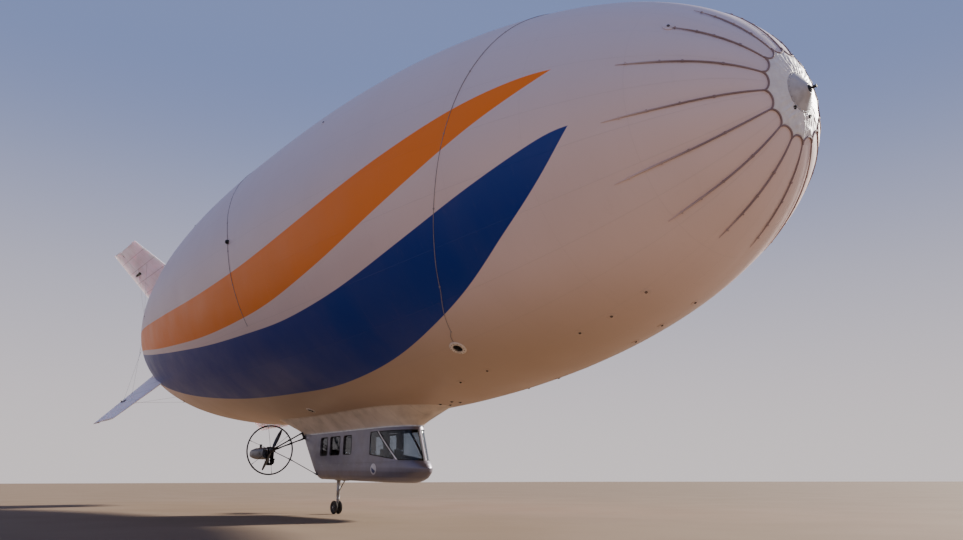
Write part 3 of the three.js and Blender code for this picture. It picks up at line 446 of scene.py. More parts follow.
def envelope_material():
    """White cloth with painted shade and painted ground bounce by height, sewn seams and the two ribbons
    along the flank.
    """
    paint = Paint("envelope_fabric", 0.42, 0.28, more={"Coat Weight": 0.05, "Coat Roughness": 0.3})
    x, y, z = split(paint.position)
    turn = abs(y).calc("ARCTAN2", abs(y), z)
    seams = grouped(SEAM_LINES, turn * HULL_RADIUS, GORE_TURN * HULL_RADIUS, SEAM_HALF_WIDTH)
    seams = seams.larger(grouped(SEAM_LINES, x, CROSS_SEAM_PITCH, SEAM_HALF_WIDTH * 0.75) * 0.6)
    color = mix(seams * 0.18, fabric_with_painted_shade(z), (0.35, 0.29, 0.28))
    radius = x.calc("SQRT", y**2.0 + z**2.0)
    share = spread(x, -HULL_HALF, HULL_HALF)
    for stripe, ribbon in RIBBONS:
        places = [(station + HULL_HALF) / (2 * HULL_HALF) for station in RIBBON_STATIONS]
        centre = curve_value(share, [(place, down / 180) for place, (down, _) in zip(places, ribbon)])
        width = curve_value(share, [(place, half / 2 + 0.1) for place, (_, half) in zip(places, ribbon)])
        color = mix(grouped(HULL_RIBBON, turn, radius, centre * math.pi, (width - 0.1) * 2.0), color, stripe)
    color = paint.soil(color, DUST, 0.06, 0.9, stretch=(1.0, 0.35, 0.35))
    roughness = spread(paint.noise(1.3), 0.3, 0.7, 0.38, 0.5)
    height = paint.noise(5.0, 4.0) * 0.4 + paint.noise(160.0, 1.0) * 0.05 + seams * 0.5
    return paint.finish(color, height, 0.004, roughness)


def envelope():
    """The skin: hull_radius turned about the ship's axis, its rings closer at both ends. Each nose
    stiffener presses it in by (1 - d)^2.5, d the share of half a bay away, and all of it ripples."""
    rings, segments = 110, 288
    sides = []
    for (run, girth, reach), way, opening in ((HULL_AFT, -1, TAIL_OPENING), (HULL_FORE, 1, NOSE_OPENING)):
        last = math.acos((opening / HULL_RADIUS) ** (girth / 2))
        step = reach * np.sin(last * np.linspace(0, 1, rings)) ** (2 / run)
        sides.append(FULLEST_X + way * step)
    x = np.concatenate([sides[0][::-1], sides[1][1:]])[:, None]
    angle = turns(segments)
    to_batten = np.abs((angle / BATTEN_TURN) % 1 - 0.5) * 2
    near_nose = np.clip((x - 11.3) / 1.4, 0, 1) * np.clip((13.42 - x) / 0.3, 0, 1)
    points = on_hull(x, angle, -BATTEN_PRESS * near_nose * (1 - to_batten) ** 2.5)
    points += 0.003 * waves(points, 2.6, 11)[..., None] * points * (0, 1, 1) / HULL_RADIUS
    form = Form().add((points, grid_faces(*points.shape[:2], wrap_cols=True)))
    form.piece("envelope_skin", [envelope_material()], "coated_fabric", ["envelope"])


envelope()


# Nose
# Sixteen stiffeners in sleeves run back from the nose to keep it from caving in; the sleeves'
# dark colour is painted shade along them. Between their front ends a rope holds the scalloped
# edge of a crumpled white patch, and a grey cone with the mooring spindle sits on its middle.
BATTEN_START = 0.67
# stations where the stiffeners end, from the top round to the keel
BATTEN_ENDS = (12.7, 12.6, 12.5, 12.05, 11.85, 11.78, 12.08, 12.32)
SCALLOP_DEPTH = 0.09
CONE_BASE = 0.282
CONE_TIP = 0.062
CONE_X = float(hull_station(CONE_BASE)) + 0.00425
CONE_LENGTH = 0.145
CONE_RIM = 0.014
AHEAD = (1, 0, 0)


def loft(rows, closed=False):
    """Closed outlines joined row by row, with flat ends unless the last row meets the first."""
    rows = np.asarray(rows)
    count, cols = rows.shape[:2]
    faces = grid_faces(count, cols, wrap_rows=closed, wrap_cols=True)
    if not closed:
        faces += [list(range(cols)), list(range((count - 1) * cols, count * cols))[::-1]]
    return rows, faces


def unit(vectors):
    """Vectors brought to length one."""
    vectors = np.asarray(vectors, float)
    return vectors / np.linalg.norm(vectors, axis=-1, keepdims=True)


def sweep(path, section, up, scale=1.0, closed=False):
    """A closed section carried along a path: p + s side + t top at each point (s, t) of the section."""
    path = np.asarray(path, float)
    along = unit(np.roll(path, -1, 0) - np.roll(path, 1, 0) if closed else np.gradient(path, axis=0))
    side = unit(np.cross(along, np.broadcast_to(up, path.shape)))
    top = np.cross(side, along)
    section = np.asarray(section, float)
    scale = np.broadcast_to(scale, (len(path),))[:, None, None]
    ring = section[None, :, :1] * side[:, None] + section[None, :, 1:] * top[:, None]
    return loft(path[:, None] + scale * ring, closed)


def circle(radius, sides=12):
    """A round section: (radius cos a, radius sin a)."""
    return radius * np.stack([np.cos(turns(sides)), np.sin(turns(sides))], axis=-1)


def rod(start, end, radius, sides=12):
    """A straight round bar between two points."""
    along = np.subtract(end, start)
    return sweep([start, end], circle(radius, sides), np.eye(3)[np.argmin(np.abs(along))])


def lathe(profile, origin, axis, segments=48, closed=False):
    """A profile of (radius, along) pairs turned about an axis through the origin point."""
    axis = unit(axis)
    first = unit(np.cross(axis, np.eye(3)[np.argmin(np.abs(axis))]))
    turn = turns(segments)[:, None]
    spoke = np.cos(turn) * first + np.sin(turn) * np.cross(axis, first)
    profile = np.asarray(profile, float)
    return loft(np.asarray(origin) + profile[:, :1, None] * spoke[None] + profile[:, 1:, None] * axis, closed)


def block(low, high, bevel=0.004):
    """A box between two corners with its edges rounded over."""
    low, high = np.minimum(low, high), np.maximum(low, high)
    work = bmesh.new()
    bmesh.ops.create_cube(work, size=1)
    for vertex in work.verts:
        vertex.co = Vector(low + (np.array(vertex.co) + 0.5) * (high - low))
    bmesh.ops.bevel(work, geom=work.edges[:], offset=bevel, segments=2, profile=0.6, affect="EDGES")
    return taken(work)


def taken(work):
    """Points and faces of a working mesh, which is then let go."""
    work.verts.index_update()
    part = [tuple(v.co) for v in work.verts], [[v.index for v in face.verts] for face in work.faces]
    work.free()
    return part


def batten_material():
    """Sleeves coloured dark as painted shade along the stiffeners, paling at their aft ends into the cloth's
    colour with its painted shade.
    """
    paint = Paint("batten_sleeve", 0.75, 0.25)
    x, _, z = split(paint.position)
    # The dark sleeve colours are painted shade along the stiffener lines.
    color = paint.mottle(3.0, 3.0, 0.35, 0.7, (0.255, 0.185, 0.195), (0.315, 0.235, 0.24))
    color = mix(spread(x, 12.75, 11.95, 0.05, 0.82), color, fabric_with_painted_shade(z))
    return paint.finish(color, grouped(SEAM_LINES, x, 0.03, 0.008) + paint.noise(90.0), 0.002)


def scallop_radius(share):
    """Radius of the patch's edge at a share of the way between two stiffeners."""
    return BATTEN_START - SCALLOP_DEPTH * np.sqrt(np.maximum(0, 1 - (2 * (share % 1) - 1) ** 2))


def nose_battens():
    """Sleeves swept along the hull with a slight waver and four ties each, and the rope that runs
    along the scallops between their front ends."""
    form = Form()
    width, rise = 0.013, 0.012
    sleeve = [(-width, -0.004), (-width * 0.7, rise * 0.7), (0, rise), (width * 0.7, rise * 0.7),
              (width, -0.004)]
    tie = [(-0.018, -0.004), (-0.015, 0.014), (0.015, 0.014), (0.018, -0.004)]
    front = float(hull_station(BATTEN_START))
    rng = np.random.default_rng(5)
    for k in range(BATTENS):
        angle = (k + 0.5) * BATTEN_TURN
        x = np.linspace(BATTEN_ENDS[min(k, BATTENS - 1 - k)], front, 44)
        spine = on_hull(x, angle + 0.004 * np.sin(x * 5 + k) / hull_radius(x), 0.001)
        form.add(sweep(spine, sleeve, hull_normal(x, angle), np.clip(0.35 + (x - x[0]) / 0.5, 0.35, 1)))
        for place in (0.12, 0.34, 0.56, 0.78):
            spot = x[0] + (x[-1] - x[0]) * (place + rng.uniform(-0.03, 0.03))
            x_tie = np.array([spot - 0.009, spot + 0.009])
            form.add(sweep(on_hull(x_tie, angle, 0.002), tie, hull_normal(x_tie, angle)))
    share = np.arange(BATTENS * 24) / 24
    edge, turn = hull_station(scallop_radius(share)), (share + 0.5) * BATTEN_TURN
    form.add(sweep(on_hull(edge, turn, 0.008), circle(0.013, 8), hull_normal(edge, turn), closed=True))
    form.piece("batten_sleeves", [batten_material()], "batten", ["nose_battens"])


def patch_material():
    paint = Paint("nose_patch_fabric", 0.5, 0.35)
    creases = paint.noise(11.0, 6.0, 0.62)
    # Darker in the crease hollows, where the bump is lowest: painted shade.
    color = mix(ramp(creases, 0.35, 0.65), (0.78, 0.76, 0.78), (0.86, 0.85, 0.86))
    return paint.finish(paint.soil(color, DUST, 0.16, 4.0), creases, 0.008, strength=0.6)


def nose_patch():
    """The hull's surface lifted by folds (1 - |wave|)^2 and by fine creases that run outwards."""
    rings, bay = 30, 28
    share = np.arange(BATTENS * bay) / bay
    turn = (share + 0.5) * BATTEN_TURN
    inner = 0.246
    part = np.linspace(0, 1, rings)[:, None]
    radius = inner + (scallop_radius(share) - 0.010 - inner) * part
    flat = xyz(radius * np.sin(turn), radius * np.cos(turn), 0.0)
    folds = (1 - np.abs(waves(flat, 0.42, 21, 3))) ** 2
    radial = np.sin(turn * 37 + 5 * waves(flat, 0.6, 4, 2)) * np.sin(math.pi * part) ** 0.5
    fall = np.clip((1 - part) * 12, 0, 1) * np.clip(part * 8, 0.15, 1) * (0.25 + 0.75 * np.abs(np.cos(turn)))
    skin = on_hull(hull_station(radius), turn, 0.005 + fall * (0.013 * folds + 0.0025 * radial))
    form = Form().add((skin, grid_faces(*skin.shape[:2], wrap_cols=True)))
    form.piece("nose_patch_skin", [patch_material()], "patch_fabric", ["nose_patch"], crease=70)


def steel_material(name, dark, light, metallic=0.75, roughness=0.38):
    """Painted or bare steel with worn spots, scratches and a little grime."""
    paint = Paint(name, metallic=metallic)
    color = paint.soil(paint.mottle(22.0, 6.0, 0.5, 0.7, dark, light, 0.6), (0.05, 0.04, 0.035), 0.5, 9.0)
    scratched = paint.noise(3.0, 2.0, stretch=(20.0, 90.0, 90.0))
    rough = spread(scratched, 0.2, 0.8, roughness - 0.08, roughness + 0.14)
    return paint.finish(color, scratched, 0.0006, rough)


DARK_STEEL = steel_material("dark_steel", (0.014, 0.014, 0.017), (0.05, 0.05, 0.055))
ALLOY = steel_material("machined_alloy", (0.42, 0.42, 0.44), (0.6, 0.6, 0.61), 0.9, 0.3)


def nose_cone():
    """A rolled rim, then a cone that swells in by 6 mm at half its length."""
    form = Form()
    top = CONE_BASE - 0.026
    shell = [(0.236, -0.05), (0.238, 0.0), (CONE_BASE, -0.001), (CONE_BASE + 0.002, CONE_RIM * 0.5),
             (CONE_BASE - 0.004, CONE_RIM), (CONE_BASE - 0.022, CONE_RIM + 0.002), (top, CONE_RIM + 0.006)]
    shell += [(top + (CONE_TIP - top) * t - 0.006 * math.sin(math.pi * t),
               CONE_RIM + 0.006 + (CONE_LENGTH - CONE_RIM - 0.006) * t)
              for t in np.linspace(0, 1, 9)[1:]]
    form.add(lathe(shell, (CONE_X, 0, 0), AHEAD, 64))
    for turn in turns(24):
        form.add(lathe([(0.0075, 0.0), (0.0075, 0.006), (0.005, 0.0085)],
                       round_x((CONE_X + CONE_RIM - 0.002, 0, 0), 0.271, turn), AHEAD, 8), 1)
    for turn in turns(4, 0.35):
        path = [round_x((CONE_X + x, 0, 0), radius, turn)
                for x, radius in ((CONE_RIM + 0.008, 0.252), (CONE_LENGTH - 0.02, 0.075))]
        strap = [(-0.012, -0.002), (-0.01, 0.003), (0.01, 0.003), (0.012, -0.002)]
        form.add(sweep(path, strap, (0, math.sin(turn), math.cos(turn))))
    paint = plain_paint("nose_cone_paint", (6.0, 5.0, 0.35, 0.7, (0.47, 0.46, 0.48), (0.56, 0.55, 0.57)),
                        (40.0, 0.0015), ((0.12, 0.1, 0.09), 0.35, 7.0), roughness=0.42, specular=0.4)
    form.piece("nose_cone_shell", [paint, ALLOY], "cone_paint", ["nose_cone"])


def mooring_spindle():
    """A turned neck on a round flange with eight bolts."""
    form = Form()
    start = CONE_X + CONE_LENGTH
    profile = [(0.050, 0.0005), (0.052, 0.003), (0.052, 0.007), (0.048, 0.0095), (0.030, 0.0115),
               (0.022, 0.018), (0.0195, 0.024), (0.0195, 0.046), (0.023, 0.048), (0.023, 0.054),
               (0.0195, 0.056), (0.0195, 0.074), (0.022, 0.078), (0.023, 0.082), (0.023, 0.091),
               (0.020, 0.0950)]
    form.add(lathe(profile, (start, 0, 0), AHEAD, 32))
    for turn in turns(8, 0.5):
        form.add(lathe([(0.006, 0.0), (0.006, 0.005), (0.004, 0.007)],
                       round_x((start + 0.0085, 0, 0), 0.041, turn), AHEAD, 6))
    paint = steel_material("spindle_paint", (0.02, 0.02, 0.024), (0.06, 0.06, 0.065), 0.15, 0.55)
    form.piece("spindle", [paint], "dark_steel", ["mooring_spindle"])


def nose_guides():
    """Two dark line guides let into the patch below the cone."""
    form = Form()
    for x, y, z in ((13.47, -0.165, -0.262), (13.465, 0.2, -0.275)):
        angle = math.atan2(y, z)
        spot = on_hull(hull_station(math.hypot(y, z)), angle, 0.006)
        profile = [(0.026, -0.004), (0.026, 0.012), (0.021, 0.017), (0.015, 0.017), (0.012, 0.006)]
        form.add(lathe(profile, spot, hull_normal(x - 0.1, angle), 20))
    form.piece("line_guides", [DARK_STEEL], "dark_steel")


nose_battens()
nose_patch()
nose_cone()
mooring_spindle()
nose_guides()


# Hull fittings
# Round valves in white rings, small reinforcing patches where lines can be tied, two thin
# cables taped down the flank, and a white cap over the tail opening.
CABLE_STEPS = 90
# columns: station, degrees down from the top
TIE_PATCHES = ((12.52, 55.5), (11.19, 166.6), (10.53, 167.5), (9.93, 167.0), (7.9, 165.0), (7.1, 166.0),
               (5.36, 56.8), (-2.0, 60.0), (-6.5, 90.0), (-6.5, 150.0), (2.0, 20.0), (9.0, 20.0),
               (-8.5, 20.0), (-12.0, 90.0))
KEEL_DRAINS = ((5.50, 0.12), (5.50, -0.12), (5.86, 0.10), (5.86, -0.10), (-1.60, 0.0))
CABLE_RUNS = (
    ((10.15, 22), (10.05, 36), (9.92, 55), (9.74, 73), (9.46, 93), (9.12, 112), (8.6, 132), (8.17, 145),
     (8.05, 148.6)),
    ((0.55, 40), (0.95, 52), (1.36, 62), (1.95, 77), (2.35, 89), (2.52, 103), (2.6, 113), (2.62, 120)),
)
SIDES = (("port", 1), ("starboard", -1))
VALVE_WHITE = plain_paint("valve_ring", None, (50.0, 0.001), (DUST, 0.4, 8.0), color=(0.80, 0.70, 0.62),
                          roughness=0.4)


def valve(name, x, degrees, radius, height):
    """A white ring round a dark domed lid with a mesh of bars across it."""
    turn = math.radians(degrees)
    spot, out = on_hull(x, turn), hull_normal(x, turn)
    form = Form()
    ring = [(1, -0.03), (1, height * 0.5), (0.94, height), (0.75, height + 0.004), (0.56, height),
            (0.54, height * 0.3), (0.54, -0.03)]
    form.add(lathe([(radius * share, level) for share, level in ring], spot, out, 56, closed=True))
    lid = [(0.55, -0.03), (0.55, 0.0), (0.4, 0.006), (0.12, 0.010)]
    form.add(lathe([(radius * share, level) for share, level in lid] + [(0.004, 0.010)], spot, out, 40), 1)
    first = unit(np.cross(out, (0, 0, 1.0)))
    for around in turns(12):
        arm = math.cos(around) * first + math.sin(around) * np.cross(out, first)
        form.add(rod(spot + arm * radius * 0.1 + out * 0.012,
                     spot + arm * radius * 0.59 + out * (height + 0.001), 0.003, 6), 1)
        form.add(lathe([(0.006, 0.0), (0.006, 0.004), (0.003, 0.006)],
                       spot + arm * radius * 0.80 + out * (height + 0.002), out, 6), 1)
    form.piece(name + "_ring", [VALVE_WHITE, DARK_STEEL], "patch_fabric", [name])


def hull_patches():
    """Round glued patches, each with a small dark ring to tie a line to, and small drains along the keel."""
    form = Form()
    ring = [(0.016 + 0.005 * math.cos(a), 0.012 + 0.005 * math.sin(a)) for a in turns(8)]
    for (x, degrees), side in product(TIE_PATCHES, (1, -1)):
        turn = math.radians(degrees) * side
        spot, out = on_hull(x, turn), hull_normal(x, turn)
        form.add(lathe([(0.075, -0.01), (0.075, 0.0015), (0.07, 0.003), (0.004, 0.004)], spot, out, 28))
        form.add(lathe(ring, spot, out, 18, closed=True), 1)
    for x, y in KEEL_DRAINS:
        turn = math.pi - y / float(hull_radius(x))
        drain = [(0.034, -0.01), (0.034, 0.005), (0.030, 0.008), (0.012, 0.008), (0.012, 0.016),
                 (0.006, 0.018)]
        form.add(lathe(drain, on_hull(x, turn), hull_normal(x, turn), 18), 1)
    paint = Paint("tie_patch_fabric")
    # The patches take the cloth's colour, with its painted shade and painted ground bounce by height.
    color = paint.soil(fabric_with_painted_shade(split(paint.position)[2]), DUST, 0.3, 6.0)
    form.piece("tie_patches", [paint.finish(color, paint.noise(60.0), 0.001), DARK_STEEL], "patch_fabric")


def flank_cables():
    """Thin dark cables taped to the flank, their bends eased by averaging, with a knot on the aft one."""
    form = Form()
    for run in CABLE_RUNS:
        stations, degrees = np.array(run, float).T
        steps = np.linspace(0, len(run) - 1, CABLE_STEPS)
        x = np.interp(steps, range(len(run)), stations)
        x = np.convolve(np.pad(x, 6, mode="edge"), np.ones(13) / 13, mode="valid")
        turn = np.radians(np.interp(steps, range(len(run)), degrees))
        for side in (1, -1):
            form.add(sweep(on_hull(x, side * turn, 0.004), circle(0.0055, 6), hull_normal(x, side * turn)))
            for k in range(6, CABLE_STEPS, 12):
                spot, out = on_hull(x[k], side * turn[k]), hull_normal(x[k], side * turn[k])
                form.add(lathe([(0.015, -0.004), (0.015, 0.008), (0.010, 0.012)], spot, out, 12))
    knot = on_hull(2.35, math.radians(89), 0.02)
    for side in (1, -1):
        profile = [(0.02, -0.045), (0.042, -0.03), (0.048, 0.0), (0.042, 0.03), (0.02, 0.045)]
        form.add(lathe(profile, knot * (1, side, 1), (0, 0, 1), 16), 1)
    cover = steel_material("cable_cover", (0.32, 0.275, 0.285), (0.40, 0.345, 0.35), 0.0, 0.6)
    form.piece("flank_cables", [cover, DARK_STEEL], "dark_steel")


def tail_cap():
    """A bolted rim round a dome: radius 0.222 cos a, depth 0.062 sin a."""
    seat = float(hull_station(TAIL_OPENING, False)) - 0.0003
    profile = [(0.186, 0.04), (0.19, 0.001), (0.230, 0.0), (0.232, -0.005), (0.228, -0.011)]
    profile += [(0.222 * math.cos(a), -0.012 - 0.062 * math.sin(a)) for a in np.linspace(0, 1.5, 9)]
    form = Form().add(lathe(profile, (seat, 0, 0), AHEAD, 56))
    for turn in turns(16):
        form.add(lathe([(0.006, 0.0), (0.006, -0.005), (0.003, -0.007)],
                       round_x((seat - 0.009, 0, 0), 0.211, turn), AHEAD, 6), 1)
    form.piece("tail_dome", [VALVE_WHITE, DARK_STEEL], "patch_fabric", ["tail_cap"])


for label, side in SIDES:
    valve("gas_valve_" + label, 8.02, side * 151.3, 0.150, 0.016)
    valve("ballonet_valve_" + label, 1.80, side * 161.5, 0.120, 0.014)
hull_patches()
flank_cables()
tail_cap()


# Fins
# Four fabric-covered fins at 45 degrees with ribs, whose shadows through the cloth are painted as
# grey lines. Each carries a hinged ruddervator behind it and is held by two wires on each side.
FIN_ROOT_X, FIN_ROOT_R = -6.882, 1.4
FIN_TIP_X, FIN_TIP_R = -8.6, 4.175
FIN_ROOT_HALF, FIN_TIP_HALF = 0.075, 0.036
FLAP_ROOT_X, FLAP_TIP_X = -11.340, -11.200
# radii where the flap starts and ends, along its nose and along its trailing edge
FLAP_FORE_R, FLAP_AFT_R = (2.010, 4.195), (1.650, 4.225)
HINGE_X = -10.43
FIN_BACK_X = HINGE_X + 0.044
HINGE_STATIONS = (2.3, 3.15, 4.0)
RIB_PITCH, POST_PITCH = 0.42, 0.48
STAY_STATIONS, STAY_HEAD_R = (-9.0, -10.05), 3.35
STAY_SPLAY = math.radians(34)
# columns: share of the chord, share of the half thickness
FIN_FOIL = np.array(((0, 0), (0.004, 0.17), (0.015, 0.33), (0.04, 0.52), (0.08, 0.68), (0.15, 0.84),
                     (0.25, 0.95), (0.4, 1.0), (0.55, 0.97), (0.7, 0.89), (0.85, 0.77), (1.0, 0.62)))
ABEAM, UPWARD = (0, 1, 0), (0, 0, 1)


def fin_material():
    """White cloth over ribs and posts, their shadows through the cloth painted as grey lines."""
    paint = Paint("fin_fabric", 0.45, 0.38, more={"Subsurface Weight": 0.4,
                                                  "Subsurface Radius": (0.10, 0.08, 0.085),
                                                  "Subsurface Scale": 1.0})
    x, y, z = split(paint.position)
    span = (abs(y) + abs(z)) * math.sqrt(0.5)
    posts = grouped(SEAM_LINES, x + span * 0.3, POST_PITCH, 0.009)
    lines = grouped(SEAM_LINES, span, RIB_PITCH, 0.013).larger(posts * 0.6)
    color = paint.mottle(1.7, 3.0, 0.3, 0.7, (0.86, 0.80, 0.89), (0.90, 0.85, 0.93))
    # The grey rib and post lines are painted shadow of the ribs and posts seen through the cloth.
    color = paint.soil(mix(lines * 0.75, color, (0.30, 0.24, 0.26)), DUST, 0.16, 2.2)
    height = grouped(SEAM_LINES, span, RIB_PITCH, 0.2) + lines * 0.4 + paint.noise(14.0) * 0.25
    return paint.finish(color, height, 0.006)


def fin_parts():
    """The fixed fin straight up: sections x(share), y = +-half(radius) height(share), with a rounded tip."""
    rows = []
    tip = np.array([0.35, 0.7, 1.05, 1.35, 1.5])
    span = np.concatenate([np.linspace(FIN_ROOT_R, FIN_TIP_R - 0.03, 24),
                           FIN_TIP_R - 0.03 + 0.036 * np.sin(tip)])
    for radius, squeeze in zip(span, np.concatenate([np.ones(24), np.cos(tip)])):
        part = (radius - FIN_ROOT_R) / (FIN_TIP_R - FIN_ROOT_R)
        lead = FIN_ROOT_X + (FIN_TIP_X - FIN_ROOT_X) * min(part, 1) - 0.05 * (1 - squeeze)
        half = (FIN_ROOT_HALF + (FIN_TIP_HALF - FIN_ROOT_HALF) * part) * squeeze
        port = xyz(lead + (FIN_BACK_X - lead) * FIN_FOIL[:, 0], half * FIN_FOIL[:, 1], radius)
        rows.append(np.concatenate([port, port[:0:-1] * (1, -1, 1)]))
    return loft(rows)


def flap_parts():
    """The ruddervator straight up: a round nose about the hinge, then nearly flat to a thin edge."""
    rows = []
    for part in np.linspace(0, 1, 22):
        fore, aft = (root + (tip - root) * part for root, tip in (FLAP_FORE_R, FLAP_AFT_R))
        trail = FLAP_ROOT_X + (FLAP_TIP_X - FLAP_ROOT_X) * part
        half = FIN_TIP_HALF * (1 - 0.25 * (fore - FLAP_AFT_R[0]) / (FIN_TIP_R - FLAP_AFT_R[0]))
        nose = [(HINGE_X + half * math.cos(a), half * math.sin(a))
                for a in np.linspace(math.pi / 2, -math.pi / 2, 10)]
        back = [(HINGE_X + (trail - HINGE_X) * s, half * (1 - s) ** 0.9 * 1.02 + 0.004)
                for s in (0.12, 0.3, 0.5, 0.7, 0.86, 0.96, 1.0)]
        outline = np.array([*nose, *[(x, -y) for x, y in back], *back[::-1]])
        share = np.clip((HINGE_X - outline[:, 0]) / (HINGE_X - trail), 0, 1)
        rows.append(np.column_stack([outline, fore + (aft - fore) * share]))
    return loft(rows)


def tube(origin, axis, outer, inner, low, high, segments):
    """A short pipe from low to high along an axis."""
    return lathe([(outer, low), (outer, high), (inner, high), (inner, low)], origin, axis,
                 segments, closed=True)


def fin(name, degrees):
    """A fixed fin turned to its angle, with hinge brackets and two wires on each side."""
    form = Form(roll=degrees).add(fin_parts())
    for radius in HINGE_STATIONS:
        form.add(block((HINGE_X, -0.013, radius - 0.012),
                       (FIN_BACK_X + 0.05, 0.013, radius + 0.012), 0.003), 1)
        form.add(tube((HINGE_X, 0, radius), UPWARD, 0.022, 0.010, -0.012, 0.012, 20), 1)
    for x, side in product(STAY_STATIONS, (1, -1)):
        splay = STAY_SPLAY * side
        head, foot = np.array([x, side * 0.03, STAY_HEAD_R]), on_hull(x, splay)
        form.add(rod(head, foot, 0.003, 6), 2)
        along = unit(foot - head)
        form.add(rod(foot - along * 0.30, foot - along * 0.16, 0.007, 8), 2)
        form.add(lathe([(0.03, -0.012), (0.03, 0.010), (0.02, 0.016)], head - (0, side * 0.012, 0),
                       (0, side, 0), 14), 1)
        form.add(lathe([(0.09, -0.012), (0.09, 0.002), (0.085, 0.004), (0.004, 0.005)], foot,
                       hull_normal(x, splay), 26))
    for side in (1, -1):
        form.add(block((-10.40, side * 0.018, 3.16), (-10.10, side * 0.062, 3.25), 0.008), 1)
    form.piece("fin_skin_" + name, FIN_MATERIALS, "coated_fabric", ["fin_" + name])


def ruddervator(name, degrees):
    """A moving surface turned to its fin's angle, with hinge eyes and a horn on each side."""
    form = Form(roll=degrees).add(flap_parts())
    for radius, low in product(HINGE_STATIONS, (-0.028, 0.014)):
        form.add(tube((HINGE_X, 0, 0), UPWARD, 0.030, 0.009, radius + low, radius + low + 0.014, 18), 1)
    for side in (1, -1):
        form.add(block((-10.66, side * 0.02, 3.17), (-10.45, side * 0.05, 3.24), 0.008), 1)
        form.add(block((-10.60, side * 0.03, 3.195), (-10.56, side * 0.10, 3.215), 0.004), 1)
    form.piece("ruddervator_skin_" + name, FIN_MATERIALS, "coated_fabric", ["ruddervator_" + name],
               body="ruddervator_" + name)


FIN_MATERIALS = [fin_material(), DARK_STEEL, ALLOY]
for label, degrees in (("upper_starboard", 45), ("upper_port", -45), ("lower_starboard", 135),
                       ("lower_port", -135)):
    fin(label, degrees)
    ruddervator(label, degrees)


# Gondola
# A smooth silver cabin with a round nose hangs under the hull on a short fabric skirt. Its
# rear wall slopes, its windows sit in dark rubber, and a door on hinges opens to port.
ROOF_Z = -3.8
KEEL_Z = -4.838
SILL_Z = -4.505
REAR_TOP_X = -0.055
REAR_SLOPE = 0.86
CABIN_WALL = 0.024
NOSE_START_X = 3.5
COCKPIT_X = 3.27
BELLY_FALL = 0.0254
BELLY_START_X = 0.96
BEYOND = 0.7
# columns: height, half width, nose tip
CABIN_LEVELS = ((-3.8, 0.408, 4.575), (-4.0, 0.42, 4.655), (-4.425, 0.425, 4.83), (-4.485, 0.425, 4.9),
                (-4.56, 0.425, 4.96), (-4.64, 0.422, 4.94), (-4.74, 0.404, 4.815), (-4.805, 0.368, 4.61),
                (-4.838, 0.305, 4.4))
ROOF_HALF, ROOF_NOSE = CABIN_LEVELS[0][1:]
CABIN_WINDOWS = ((0.965, 1.310), (1.450, 1.925), (2.105, 2.475))
WINDOW_TOP, WINDOW_SILL = -3.893, -4.308
STRIP_REACH, STRIP_HEIGHTS = (0.935, 2.505), (-3.869, -4.332)
PANE_LAP = 0.008
COCKPIT_SIDE = ((3.305, -3.868), (3.585, -3.868), (4.235, -4.452), (3.305, -4.335))
WINDSCREEN = ((3.65, -3.868), (5.2, -3.868), (5.2, -4.492), (4.318, -4.468))
POST_HALF = 0.042
DOOR_CLEAR = 0.006
DOOR_FROM, DOOR_TO, DOOR_TOP, DOOR_FOOT = 2.64, 3.12, -3.85, -4.74
DOOR_PANE = (2.72, 3.04)
HINGE_PIN = (3.124, 0.434)
HINGE_HEIGHTS = (-3.99, -4.38)
ROUNDEL_X, ROUNDEL_Z = 3.48, -4.64
PILLAR_LEAN, PILLAR_PLACE = 1.112, 0.684
SKIRT_FOOT = -3.7755
# half width, rear and nose of the skirt's upper edge
SKIRT_TOP = (0.8, -0.9, 5.43)


def cabin_levels():
    """The table of heights, half widths and nose tips on a fine grid, its corners eased over 30 mm."""
    z, half, nose = np.array(CABIN_LEVELS).T
    fine = np.linspace(z[-1], z[0], 400)
    kernel = np.exp(-0.5 * (np.arange(-24, 25) * 0.0026 / 0.009) ** 2)
    padded = (np.pad(np.interp(fine, z[::-1], v[::-1]), 24, mode="reflect", reflect_type="odd")
              for v in (half, nose))
    return fine, *(np.convolve(row, kernel / kernel.sum(), "valid") for row in padded)


CABIN_FINE = cabin_levels()


def cabin_size(z):
    """Half width and nose tip at heights."""
    fine, half, nose = CABIN_FINE
    return np.interp(z, fine, half), np.interp(z, fine, nose)


def belly(x, z):
    """The height once the belly's fall towards the nose is added."""
    share = np.clip((ROOF_Z - z) / (ROOF_Z - KEEL_Z), 0, 1)
    return z - share * BELLY_FALL * np.maximum(0, x - BELLY_START_X)


def cabin_level(x, z):
    """The height of the table that the belly's fall brings down to height z."""
    level = z
    for _ in range(4):
        level = z + (level - belly(x, level))
    return level


def cabin_side(x, z, side, inset=0.0):
    """Points of the cabin's side at stations and heights: y = half sqrt(1 - s^2),
    with s the share of the nose's length."""
    half, nose = cabin_size(cabin_level(x, z))
    share = np.clip((x - NOSE_START_X) / (nose - inset - NOSE_START_X), 0, 1)
    return xyz(x, side * (half - inset) * np.sqrt(1 - share**2), z)


def cabin_normal(x, z, side):
    """The side's outward direction, (x / reach^2, y / half^2) brought to length one."""
    half, nose = cabin_size(cabin_level(x, z))
    ahead = np.maximum(0, x - NOSE_START_X) / (nose - NOSE_START_X) ** 2
    return unit(xyz(ahead, cabin_side(x, z, side)[..., 1] / half**2, 0.0))


def post_station(z):
    """The station where the windscreen's outline meets the middle post."""
    x = np.full(np.shape(z), 4.8)
    for _ in range(6):
        half, nose = cabin_size(cabin_level(x, z))
        x = NOSE_START_X + (nose - NOSE_START_X) * np.sqrt(1 - (POST_HALF / half) ** 2)
    return x


